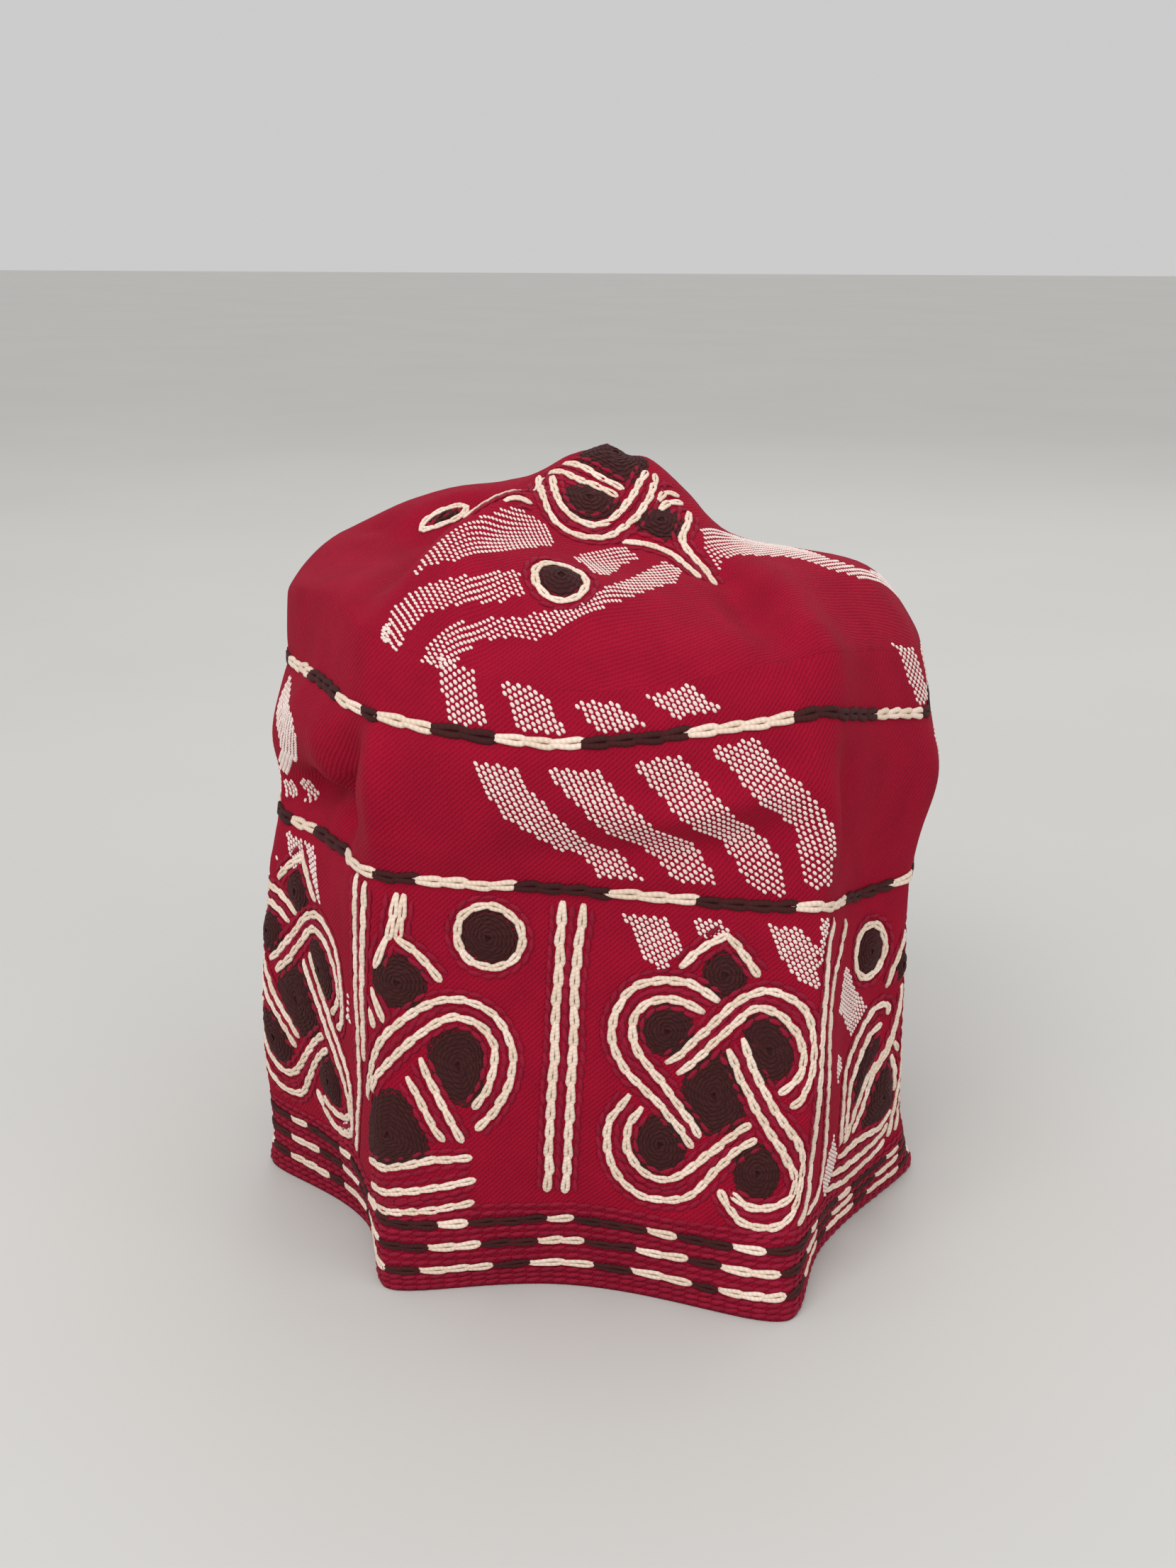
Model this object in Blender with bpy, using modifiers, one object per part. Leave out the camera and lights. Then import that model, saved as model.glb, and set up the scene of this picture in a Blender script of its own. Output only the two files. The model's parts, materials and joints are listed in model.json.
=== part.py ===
"""A tall embroidered cloth cap that stands on its stiff hem.

The cap is one smooth loft. Its sections are closed outlines with six soft corners and
six faces, stacked from the foot of the hem to the tip of the crown. Three shells are cut
out of that surface: the hem border, the side wall and the crown panel. Each is an open
sheet that takes its thickness inwards. The front of the cap faces -Y.
"""
import math

import bmesh
import bpy
import numpy as np

# Driving sizes, in metres
CORNER_REACH = 0.100      # middle of the cap to the corners of its plan
HEM_HEIGHT = 0.025        # floor to the top of the hem border
WALL_HEIGHT = 0.141       # top of the hem border to the shoulder seam
CROWN_HEIGHT = 0.0445     # shoulder seam to the tip of the crown
PEAK_REACH = 0.019        # half the width of the blunt peak
PEAK_LEAN = 0.005         # how far the peak sits to the right of the middle
CLOTH_THICKNESS = 0.0022  # cloth and the stitching that covers it
HEM_THICKNESS = 0.0032    # the same cloth, turned up once
LIP_HEIGHT = 0.003        # upright lip at the foot of the hem
LINE_WIDTH = 0.007        # groove that a stitched line presses into the cloth
LINE_DEPTH = 0.001
SEAM_GAP = 0.0006         # clearance between two pieces along their seam
SEAM_EDGE = 0.0012        # narrow row beside a seam, so that both rims face each other

# Points of each outline between one direction and the next
STEPS_AROUND = 7

# Corners and faces of the plan: degrees from +X, counter-clockwise
DIRECTION_COLUMNS = ("name", "angle", "corner")
DIRECTIONS = (
    ("front_left", -114.5, True),
    ("front", -84.0, False),
    ("front_right", -53.0, True),
    ("right_front", -31.0, False),
    ("right", -12.0, True),
    ("right_back", 20.0, False),
    ("back_right", 52.0, True),
    ("back", 90.0, False),
    ("back_left", 128.0, True),
    ("left_back", 164.0, False),
    ("left", 202.0, True),
    ("left_front", 224.0, False),
)

# Sections from the foot up. The height is a share of the piece's own height, the corner
# handle a share of the run to the next direction (a small one makes a tight corner), the
# lean a share of the peak's lean, and steps are the rows up to the next section. The
# twelve reaches, in the order of the directions, are shares of the size that is named.
SECTION_COLUMNS = ("piece", "name", "height", "handle", "lean", "steps", "size", "reaches")
SECTIONS = (
    ("hem", "foot", 0.00, 0.16, 0.0, 1, "corner",
     (0.960, 0.780, 1.080, 0.865, 0.940, 0.870, 0.980, 0.840, 0.970, 0.850, 0.945, 0.770)),
    ("hem", "low", 0.30, 0.16, 0.0, 1, "corner",
     (0.960, 0.790, 1.070, 0.865, 0.935, 0.870, 0.980, 0.840, 0.970, 0.850, 0.935, 0.780)),
    ("wall", "hem_top", 0.000, 0.16, 0.0, 3, "corner",
     (0.950, 0.820, 1.030, 0.880, 0.930, 0.870, 0.970, 0.850, 0.960, 0.860, 0.945, 0.810)),
    ("wall", "band", 0.304, 0.20, 0.0, 3, "corner",
     (0.950, 0.850, 1.020, 0.900, 0.945, 0.870, 0.970, 0.870, 0.960, 0.870, 0.940, 0.850)),
    ("wall", "lower_line", 0.632, 0.22, 0.0, 1, "corner",
     (0.950, 0.860, 1.000, 0.890, 0.943, 0.880, 0.960, 0.870, 0.950, 0.870, 0.885, 0.840)),
    ("wall", "tuck", 0.702, 0.24, 0.0, 2, "corner",
     (0.950, 0.890, 1.000, 0.900, 0.955, 0.880, 0.960, 0.880, 0.950, 0.860, 0.865, 0.790)),
    ("wall", "bulge", 0.792, 0.26, 0.0, 2, "corner",
     (0.960, 0.920, 1.000, 0.930, 1.005, 0.900, 0.970, 0.900, 0.960, 0.880, 0.885, 0.850)),
    ("wall", "upper_line", 0.911, 0.30, 0.0, 1, "corner",
     (0.930, 0.920, 0.980, 0.920, 0.968, 0.890, 0.940, 0.880, 0.920, 0.860, 0.825, 0.820)),
    ("crown", "shoulder", 0.000, 0.34, 0.0, 3, "corner",
     (0.870, 0.870, 0.920, 0.890, 0.925, 0.860, 0.880, 0.840, 0.860, 0.820, 0.810, 0.790)),
    ("crown", "slope", 0.404, 0.36, 0.0, 2, "corner",
     (0.660, 0.600, 0.600, 0.660, 0.750, 0.690, 0.660, 0.640, 0.670, 0.680, 0.690, 0.590)),
    ("crown", "collar", 0.501, 0.36, 0.6, 2, "corner",
     (0.360, 0.360, 0.330, 0.360, 0.380, 0.360, 0.360, 0.340, 0.360, 0.380, 0.380, 0.340)),
    ("crown", "peak", 0.796, 0.36, 0.9, 1, "peak", (1.0,) * 12),
    ("crown", "peak_top", 0.957, 0.36, 1.0, 1, "peak", (0.52,) * 12),
    ("crown", "tip", 1.000, 0.36, 1.0, 0, "peak", (0.0,) * 12),
)

# Folds, dents and sags: what they add to one point of a section. Out and along (which runs
# counter-clockwise) are shares of the corner reach, up is a share of the piece's height.
FOLD_COLUMNS = ("section", "direction", "out", "up", "along")
FOLDS = (
    ("foot", "right_front", 0.0, 0.00, -0.03),
    ("foot", "right", 0.0, 0.00, 0.23),
    ("foot", "left", 0.0, 0.00, -0.12),
    ("low", "front_left", 0.0, -0.05, 0.00),
    ("low", "front_right", 0.0, -0.04, 0.00),
    ("low", "right_front", 0.0, -0.12, -0.02),
    ("low", "right", 0.0, -0.09, 0.18),
    ("low", "left", 0.0, 0.00, -0.10),
    ("hem_top", "front_left", 0.0, -0.015, 0.00),
    ("hem_top", "front_right", 0.0, -0.030, 0.03),
    ("hem_top", "right_front", 0.0, -0.080, 0.00),
    ("hem_top", "right", 0.0, -0.055, 0.08),
    ("hem_top", "right_back", 0.0, -0.020, 0.00),
    ("hem_top", "left", 0.0, 0.000, -0.06),
    ("band", "front_right", 0.0, -0.034, 0.08),
    ("band", "right_front", 0.0, -0.088, 0.03),
    ("band", "right", 0.0, -0.078, -0.02),
    ("band", "right_back", 0.0, -0.030, 0.00),
    ("band", "left", 0.0, 0.025, 0.05),
    ("band", "left_front", 0.0, 0.010, 0.00),
    ("lower_line", "front_left", 0.0, 0.012, 0.00),
    ("lower_line", "front_right", 0.0, -0.040, 0.10),
    ("lower_line", "right_front", 0.0, -0.096, 0.03),
    ("lower_line", "right", 0.0, -0.099, -0.03),
    ("lower_line", "right_back", 0.0, -0.040, 0.00),
    ("lower_line", "left", 0.0, 0.000, 0.03),
    ("lower_line", "left_front", 0.0, 0.006, 0.00),
    ("tuck", "front_right", 0.0, -0.010, 0.11),
    ("tuck", "right_front", 0.0, -0.065, 0.04),
    ("tuck", "right", 0.0, -0.085, 0.00),
    ("tuck", "right_back", 0.0, -0.030, 0.00),
    ("tuck", "left", 0.0, -0.015, 0.00),
    ("tuck", "left_front", 0.0, 0.030, 0.00),
    ("bulge", "front_right", 0.0, 0.000, 0.12),
    ("bulge", "right_front", 0.0, -0.010, 0.04),
    ("bulge", "right", 0.0, -0.060, 0.00),
    ("bulge", "left", 0.0, -0.025, -0.06),
    ("bulge", "left_front", 0.0, -0.025, 0.00),
    ("upper_line", "front", 0.0, -0.010, 0.00),
    ("upper_line", "front_left", 0.0, 0.014, 0.00),
    ("upper_line", "front_right", 0.0, 0.027, 0.12),
    ("upper_line", "right_front", 0.0, -0.025, 0.04),
    ("upper_line", "right", 0.0, -0.059, 0.00),
    ("upper_line", "left", 0.0, 0.000, -0.13),
    ("upper_line", "left_front", 0.0, 0.026, 0.00),
    ("shoulder", "front", 0.0, -0.05, 0.00),
    ("shoulder", "front_left", 0.0, 0.13, 0.00),
    ("shoulder", "left_front", 0.0, 0.27, 0.00),
    ("shoulder", "left", 0.0, 0.14, -0.16),
    ("shoulder", "front_right", 0.0, 0.08, 0.10),
    ("shoulder", "right_front", 0.0, 0.00, 0.04),
    ("shoulder", "right", 0.0, -0.11, 0.06),
    ("slope", "front_left", 0.0, 0.21, 0.00),
    ("slope", "front", 0.0, 0.05, 0.00),
    ("slope", "front_right", 0.0, -0.07, 0.10),
    ("slope", "right", 0.0, -0.04, 0.10),
    ("slope", "right_back", 0.0, -0.17, 0.10),
    ("slope", "back_right", 0.0, -0.14, 0.10),
    ("slope", "back_left", 0.0, 0.04, 0.00),
    ("slope", "left_back", 0.0, 0.04, 0.00),
    ("slope", "left", 0.0, 0.01, -0.16),
    ("slope", "left_front", 0.0, 0.02, 0.00),
    ("collar", "front_left", 0.0, 0.21, 0.00),
    ("collar", "left", 0.0, 0.20, -0.10),
    ("collar", "left_back", 0.0, 0.22, 0.00),
    ("collar", "back_left", 0.0, 0.12, 0.00),
    ("collar", "right", 0.0, -0.05, 0.05),
    ("collar", "right_back", 0.0, -0.09, 0.05),
)

# Handles of an outline in the middle of a face, as a share of the run
FACE_HANDLE = 0.42
# Sections that carry a stitched line, which presses a groove into the cloth
LINE_SECTIONS = ("lower_line", "upper_line")

# Colours are linear
CLOTH_RED = (0.38, 0.008, 0.035, 1.0)
HEM_RED = (0.30, 0.006, 0.026, 1.0)
CLOTH_ROUGHNESS = 0.85

directions = [dict(zip(DIRECTION_COLUMNS, row)) for row in DIRECTIONS]
sections = [dict(zip(SECTION_COLUMNS, row)) for row in SECTIONS]
folds = {(row[0], row[1]): dict(zip(FOLD_COLUMNS, row)) for row in FOLDS}
section_order = [section["name"] for section in sections]

SIZES = {"corner": CORNER_REACH, "peak": PEAK_REACH}
HEIGHTS = {"hem": HEM_HEIGHT, "wall": WALL_HEIGHT, "crown": CROWN_HEIGHT}
FLOORS = {"hem": 0.0, "wall": HEM_HEIGHT, "crown": HEM_HEIGHT + WALL_HEIGHT}


def section_points(section):
    """The section's points in the twelve directions, with its folds added."""
    level_fold = {"out": 0.0, "up": 0.0, "along": 0.0}
    points = []
    for direction, reach in zip(directions, section["reaches"]):
        fold = folds.get((section["name"], direction["name"]), level_fold)
        angle = math.radians(direction["angle"])
        outwards = reach * SIZES[section["size"]] + fold["out"] * CORNER_REACH
        sideways = fold["along"] * CORNER_REACH
        share = section["height"] + fold["up"]
        points.append((
            outwards * math.cos(angle) - sideways * math.sin(angle) + section["lean"] * PEAK_LEAN,
            outwards * math.sin(angle) + sideways * math.cos(angle),
            FLOORS[section["piece"]] + share * HEIGHTS[section["piece"]],
        ))
    return np.array(points)


def unit(vectors):
    """The vectors at length one, with zero vectors left as they are."""
    lengths = np.linalg.norm(vectors, axis=-1, keepdims=True)
    return vectors / np.where(lengths > 0.0, lengths, 1.0)


def outline(section):
    """A closed smooth outline through the section's points, as one curve from each to the next."""
    points = section_points(section)
    tangents = unit(np.roll(points, -1, axis=0) - np.roll(points, 1, axis=0))
    handles = [section["handle"] if direction["corner"] else FACE_HANDLE for direction in directions]
    curve = []
    for here in range(len(points)):
        there = (here + 1) % len(points)
        run = np.linalg.norm(points[there] - points[here])
        leaving = points[here] + tangents[here] * handles[here] * run
        arriving = points[there] - tangents[there] * handles[there] * run
        for step in range(STEPS_AROUND):
            t = step / STEPS_AROUND
            s = 1.0 - t
            curve.append(
                s ** 3 * points[here] + 3 * s * s * t * leaving
                + 3 * s * t * t * arriving + t ** 3 * points[there])
    return np.array(curve)


outlines = [outline(section) for section in sections]


def run_lengths(low, high):
    """Distance from each point of one outline to the same point of another."""
    return np.linalg.norm(high - low, axis=1, keepdims=True)


def row_between(index, share):
    """The surface's row at a share of the way from one section to the next."""
    low, high = outlines[index], outlines[index + 1]
    below = outlines[index - 1] if index else 2 * low - high
    above = outlines[index + 2] if index + 2 < len(outlines) else 2 * high - low
    before, run, after = run_lengths(below, low), run_lengths(low, high), run_lengths(high, above)
    rise_low = ((low - below) / before * run + (high - low) / run * before) / (before + run) * run
    rise_high = ((high - low) / run * after + (above - high) / after * run) / (run + after) * run
    t = share
    return ((2 * t ** 3 - 3 * t ** 2 + 1) * low + (t ** 3 - 2 * t ** 2 + t) * rise_low
            + (3 * t ** 2 - 2 * t ** 3) * high + (t ** 3 - t ** 2) * rise_high)


def pressed_row(index):
    """The outline of a stitched line, pushed in to the bottom of its groove."""
    along = np.roll(outlines[index], -1, axis=0) - np.roll(outlines[index], 1, axis=0)
    upwards = outlines[index + 1] - outlines[index - 1]
    return outlines[index] - unit(np.cross(along, upwards)) * LINE_DEPTH


def is_seam(index, ends):
    """Whether a sheet with these end sections meets another piece at this one."""
    return index in ends and 0 < index < len(sections) - 1


def sheet_rows(first, last):
    """Rows of the sheet from one section up to another, short of a seam at either end."""
    ends = (section_order.index(first), section_order.index(last))
    setbacks = []
    for index, name in enumerate(section_order):
        if name in LINE_SECTIONS:
            setbacks.append(LINE_WIDTH / 2)
        else:
            setbacks.append(SEAM_GAP / 2 if is_seam(index, ends) else 0.0)
    rows = []
    for index in range(*ends):
        run = run_lengths(outlines[index], outlines[index + 1])
        low_share = setbacks[index] / run
        high_share = 1.0 - setbacks[index + 1] / run
        steps = sections[index]["steps"]
        shares = [low_share + (high_share - low_share) * step / steps for step in range(steps + 1)]
        if is_seam(index, ends):
            shares.insert(1, low_share + SEAM_EDGE / run)
        if is_seam(index + 1, ends):
            shares.insert(-1, high_share - SEAM_EDGE / run)
        if section_order[index] in LINE_SECTIONS:
            rows.append(pressed_row(index))
        elif index != ends[0]:
            # the row on this section is the last one of the run below it
            shares.pop(0)
        rows.extend(row_between(index, share) for share in shares)
    return rows


foot = outlines[0]
lip = foot + np.array((0.0, 0.0, LIP_HEIGHT))
# The lip is upright, so that the foot is flat
hem_rows = [foot, lip] + sheet_rows("low", "hem_top")
wall_rows = sheet_rows("hem_top", "shoulder")
crown_rows = sheet_rows("shoulder", "tip")

# The plan is not even, so the middle of its box is found and put on the origin
every_row = np.concatenate(hem_rows + wall_rows + crown_rows)
middle = (every_row.min(axis=0) + every_row.max(axis=0)) / 2.0
CENTRE = np.array((middle[0], middle[1], 0.0))


def cloth_material(name, colour):
    """Matt wool cloth of one colour."""
    material = bpy.data.materials.new(name)
    material.use_nodes = True
    shader = material.node_tree.nodes["Principled BSDF"]
    shader.inputs["Base Color"].default_value = colour
    shader.inputs["Roughness"].default_value = CLOTH_ROUGHNESS
    shader.inputs["Metallic"].default_value = 0.0
    return material


def cloth_shell(name, rows, thickness, colour, collection):
    """One piece of the cap: an open sheet through the rows, thickened inwards."""
    sheet = bmesh.new()
    grid = [[sheet.verts.new(point) for point in row - CENTRE] for row in rows]
    for lower, upper in zip(grid, grid[1:]):
        for here in range(len(lower)):
            there = (here + 1) % len(lower)
            sheet.faces.new((lower[here], lower[there], upper[there], upper[here]))
    # the tip's row is one point
    bmesh.ops.remove_doubles(sheet, verts=sheet.verts, dist=1e-5)
    mesh = bpy.data.meshes.new(name)
    sheet.to_mesh(mesh)
    sheet.free()
    mesh.shade_smooth()
    mesh.materials.append(cloth_material(name, colour))
    shell = bpy.data.objects.new(name, mesh)
    collection.objects.link(shell)
    solidify = shell.modifiers.new("thickness", "SOLIDIFY")
    solidify.thickness = thickness
    solidify.offset = -1.0
    solidify.use_rim = True
    return shell


for old_object in list(bpy.data.objects):
    bpy.data.objects.remove(old_object, do_unlink=True)

cap = bpy.data.collections.new("fila_cap")
bpy.context.scene.collection.children.link(cap)
cloth_shell("hem_border", hem_rows, HEM_THICKNESS, HEM_RED, cap)
cloth_shell("side_wall", wall_rows, CLOTH_THICKNESS, CLOTH_RED, cap)
cloth_shell("crown_panel", crown_rows, CLOTH_THICKNESS, CLOTH_RED, cap)
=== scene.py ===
"""The looks of a tall cloth fila cap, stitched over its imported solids.

The pattern is drawn in cloth millimetres: u runs round the cap from its front, to the
right of a viewer, and v runs up the cloth from the foot. The crown is drawn in plan.
"""

import json
import math

import bmesh
import bpy
import numpy as np
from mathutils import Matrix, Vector
from mathutils.bvhtree import BVHTree
from mathutils.kdtree import KDTree
from mathutils.noise import noise

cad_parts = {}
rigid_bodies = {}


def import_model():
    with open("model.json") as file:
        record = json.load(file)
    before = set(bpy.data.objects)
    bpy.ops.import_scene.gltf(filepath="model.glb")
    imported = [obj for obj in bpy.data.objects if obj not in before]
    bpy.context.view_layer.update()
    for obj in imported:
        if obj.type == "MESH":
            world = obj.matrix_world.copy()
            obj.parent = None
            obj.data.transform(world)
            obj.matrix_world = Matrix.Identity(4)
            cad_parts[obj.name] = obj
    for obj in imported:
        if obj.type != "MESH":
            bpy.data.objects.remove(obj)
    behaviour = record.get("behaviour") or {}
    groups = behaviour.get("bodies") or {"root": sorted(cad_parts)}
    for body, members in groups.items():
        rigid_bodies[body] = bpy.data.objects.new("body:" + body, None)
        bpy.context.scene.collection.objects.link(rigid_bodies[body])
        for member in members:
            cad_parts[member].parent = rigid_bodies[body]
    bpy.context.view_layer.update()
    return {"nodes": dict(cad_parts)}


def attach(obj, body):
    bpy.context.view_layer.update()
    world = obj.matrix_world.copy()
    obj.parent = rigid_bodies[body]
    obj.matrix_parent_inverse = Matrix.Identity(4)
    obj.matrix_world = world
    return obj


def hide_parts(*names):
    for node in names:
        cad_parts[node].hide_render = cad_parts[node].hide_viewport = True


for old_object in list(bpy.data.objects):
    bpy.data.objects.remove(old_object, do_unlink=True)
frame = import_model()
scene = bpy.context.scene
MM = 0.001

# Tools
# Nodes, objects, rays and nearest places, for all the sections below.
RAY_OUTSIDE, RAY_ABOVE = 0.2, 0.4      # where rays start: from the cap's axis, and from the floor


def linear(hex_colour):
    """A colour written as sRGB hex, as linear red, green, blue and alpha."""
    parts = [int(hex_colour[i:i + 2], 16) / 255.0 for i in (0, 2, 4)]
    return tuple(c / 12.92 if c <= 0.04045 else ((c + 0.055) / 1.055) ** 2.4 for c in parts) + (1.0,)


def add(tree, kind, inputs=None, **settings):
    """Adds a node with its settings, and gives each input a value or another node's output."""
    node = tree.nodes.new(kind)
    for name, value in settings.items():
        setattr(node, name, value)
    for key, value in (inputs or {}).items():
        if isinstance(value, bpy.types.NodeSocket):
            tree.links.new(value, node.inputs[key])
        else:
            node.inputs[key].default_value = value
    return node


def output(tree, kind, inputs=None, label=0, **settings):
    """The output of that name of a new node, or else its first one."""
    return add(tree, kind, inputs, **settings).outputs[label]


def maths(tree, operation, *values, **settings):
    """The result of a Math node."""
    return output(tree, "ShaderNodeMath", dict(enumerate(values)), operation=operation, **settings)


def vectors(tree, operation, first, second=None):
    """The result of a Vector Math node on one vector, on two, or on a vector and its scale."""
    inputs = {0: first}
    if second is not None:
        inputs["Scale" if operation == "SCALE" else 1] = second
    label = "Value" if operation == "DOT_PRODUCT" else "Vector"
    return output(tree, "ShaderNodeVectorMath", inputs, label, operation=operation)


def mixed(tree, factor, low, high):
    """A colour between two that are written as hex."""
    inputs = {"Factor": factor, 6: linear(low), 7: linear(high)}
    return output(tree, "ShaderNodeMix", inputs, 2, data_type="RGBA")


def finish_material(name):
    """A new node material, with its tree and its shader."""
    material = bpy.data.materials.new(name)
    material.use_nodes = True
    return material, material.node_tree, material.node_tree.nodes["Principled BSDF"]


def put(name, data):
    """A new object in the scene."""
    thing = bpy.data.objects.new(name, data)
    scene.collection.objects.link(thing)
    return thing


def skin_of(pieces):
    """One tree of all faces of these pieces, to find where a drawn point lies on them."""
    places, faces = [], []
    for piece in pieces:
        start = len(places)
        places += [v.co.copy() for v in piece.data.vertices]
        faces += [[i + start for i in p.vertices] for p in piece.data.polygons]
    return BVHTree.FromPolygons(places, faces)


def nearest_of(places):
    """A tree that finds the nearest of these places."""
    tree = KDTree(len(places))
    for index, place in enumerate(places):
        tree.insert(place, index)
    tree.balance()
    return tree


def from_side(skin, turn, height):
    """Where a level ray from outside meets a skin, and the direction out of it there."""
    away = Vector((math.cos(turn), math.sin(turn), 0.0))
    return skin.ray_cast(away * RAY_OUTSIDE + Vector((0, 0, height)), -away)[:2]


def from_above(skin, x, y):
    """Where a ray straight down meets a skin, and the direction out of it there."""
    return skin.ray_cast(Vector((x, y, RAY_ABOVE)), Vector((0, 0, -1)))[:2]


# Studio
# A pale floor in a pale room. The key light stands high in front, a little to the left, with
# a weak fill light to the right and one light behind. The camera stands a little to the right
# of the front, higher than the cap, and looks slightly down.
LOOK_AT = Vector((0.0, 0.0, 0.1))
ROOM_LIGHT, ROOM_SEEN = 0.98, 0.76      # the room lights the cap more than it shows behind it
FLOOR_HALF, FLOOR_LEVEL = 8.0, -0.0002  # just under the foot of the cap
FLOOR_CORNERS = ((-1, -1), (1, -1), (1, 1), (-1, 1))

camera_data = bpy.data.cameras.new("camera")
camera_data.sensor_fit = "VERTICAL"
camera_data.sensor_height = 36.0
camera_data.lens = 43.19
scene.camera = put("camera", camera_data)
scene.camera.location = (0.0777, -0.5070, 0.272)
scene.camera.rotation_euler = (math.radians(73), 0.0, math.radians(9))

for name, location, size, power in (
    ("key_light", (-0.22, -0.95, 1.05), 0.9, 9.0),
    ("fill_light", (0.95, -0.70, 0.60), 0.9, 1.8),
    ("back_light", (0.10, 1.10, 1.10), 1.2, 3.6),
):
    lamp = bpy.data.lights.new(name, "AREA")
    lamp.size = size
    lamp.energy = power
    light = put(name, lamp)
    light.location = location
    light.rotation_euler = (LOOK_AT - light.location).to_track_quat("-Z", "Y").to_euler()

world = bpy.data.worlds.new("soft_room")
world.use_nodes = True
background = world.node_tree.nodes["Background"].inputs
background["Color"].default_value = linear("E6E6E6")
seen = output(world.node_tree, "ShaderNodeLightPath", label="Is Camera Ray")
glow = maths(world.node_tree, "MULTIPLY_ADD", seen, ROOM_SEEN - ROOM_LIGHT, ROOM_LIGHT)
world.node_tree.links.new(glow, background["Strength"])
scene.world = world
scene.view_settings.view_transform = "Standard"

floor_material, floor_tree, floor_shader = finish_material("pale_matt_floor")
floor_shader.inputs["Roughness"].default_value = 0.8
speckle = output(floor_tree, "ShaderNodeTexNoise", {"Scale": 60.0, "Detail": 4.0})
floor_tree.links.new(mixed(floor_tree, speckle, "C2C1BE", "CAC9C5"), floor_shader.inputs["Base Color"])
floor_mesh = bpy.data.meshes.new("floor")
floor_places = [(x * FLOOR_HALF, y * FLOOR_HALF, FLOOR_LEVEL) for x, y in FLOOR_CORNERS]
floor_mesh.from_pydata(floor_places, [], [(0, 1, 2, 3)])
floor_mesh.materials.append(floor_material)
floor = put("floor", floor_mesh)

# The pattern, as it is chalked on the cloth
# Looped knots and half arches in turn round the wall, with upright pairs of lines between
# them. All is in cloth millimetres, and each motif is drawn once and repeated.
GIRTH_LEVEL = 70.0      # the height where the girth is measured, mm
SHOULDER = 140.0        # nothing of the crown lies lower, mm
LOWEST = 0.4            # nothing is stitched lower, mm
LEAN, LEAN_FROM = 0.083, 7.3      # how a knot's right side hangs on the standing cap
OVAL_POINTS = 16
PEAK = (3.0, 2.0)       # in plan
PLAN_HALF, PLAN_STEP = 93.0, 3.0  # the grid over the crown
PLAN_TRIES, PLAN_PACE = 14, 0.6   # steps from cloth lengths to plan places
SOLID = skin_of(frame["nodes"].values())


def girth_table():
    """Turns from the back round to the back, in degrees, and the girth there from the front."""
    turns = np.linspace(-270.0, 90.0, 721)
    ring = np.array([from_side(SOLID, turn, GIRTH_LEVEL * MM)[0].xy / MM for turn in np.radians(turns)])
    girth = np.concatenate(([0.0], np.cumsum(np.linalg.norm(np.diff(ring, axis=0), axis=1))))
    return turns, girth - np.interp(-90.0, turns, girth)


TURNS, GIRTHS = girth_table()
GIRTH = GIRTHS[-1] - GIRTHS[0]

# How far the standing cloth hangs below (-) or above (+) its flat height, as (u, hang) round
# the cap, at each height of the flat cloth
HANG = (
    (0.0, ((6, 0.0), (293, 0.0))),
    (7.5,
     ((-42, -1.3), (6, 0.0), (58, -1.0), (101, -3.0), (150, -2.3), (190, 0.0), (293, 0.0), (520, 0.0))),
    (25.0,
     ((-42, -2.1), (6, 0.0), (60, -4.2), (101, -11.3), (138, -7.8), (178, -2.8), (233, 0.0), (510, 0.0))),
    (67.9,
     ((-109, 3.5), (-78, 1.4), (-42, 0.0), (6, 0.0), (66, -4.8), (101, -12.4), (127, -11.0), (178, -4.2),
      (233, 0.0), (413, 0.0))),
    (114.1,
     ((-78, 0.8), (-42, 1.7), (6, 0.0), (68, -5.6), (101, -13.5), (126, -14.0), (178, -5.6), (233, 0.0),
      (470, 0.0))),
    (124.0,
     ((-110, -2.1), (-78, 4.2), (-42, 0.0), (6, 0.0), (69, -1.4), (101, -9.2), (127, -12.0), (178, -4.2),
      (233, 0.0), (413, 0.0))),
    (136.7,
     ((-118, -3.5), (-78, -3.5), (-42, 0.0), (70, 0.0), (101, -1.4), (128, -8.5), (178, 0.0),
      (413, 0.0))),
    (153.5,
     ((-78, 3.7), (-42, 2.0), (6, -1.4), (70, 3.8), (101, -3.5), (129, -8.3), (178, 0.0), (450, 0.0))),
    (166.0,
     ((-132, 6.2), (-78, 12.0), (-42, 5.8), (6, -2.2), (70, 3.6), (101, 0.0), (135, -4.9), (178, 0.0),
      (413, 0.0))),
)


def hang(u, v):
    """What the cloth's hang adds to the height of points that are v up the flat cloth."""
    table = np.array([np.interp(u, *zip(*row), period=GIRTH) for _, row in HANG])
    levels = np.array([level for level, _ in HANG])
    above = np.clip(np.searchsorted(levels, v), 1, len(levels) - 1)
    share = np.clip((v - levels[above - 1]) / (levels[above] - levels[above - 1]), 0.0, 1.0)
    here = np.arange(len(u))
    return table[above - 1, here] * (1 - share) + table[above, here] * share


def laid(skin, shape, in_plan=False):
    """Where drawn points lie on a skin, None for a point past it, and the directions out of it."""
    shape = np.asarray(shape, float)
    if in_plan:
        found = [from_above(skin, x, y) for x, y in shape * MM]
    else:
        u, v = shape.T
        turns = np.radians(np.interp((u - GIRTHS[0]) % GIRTH + GIRTHS[0], GIRTHS, TURNS))
        heights = np.maximum(v + hang(u, v), LOWEST) * MM
        found = [from_side(skin, turn, height) for turn, height in zip(turns, heights)]
    return [place for place, _ in found], [out for _, out in found]


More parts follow.
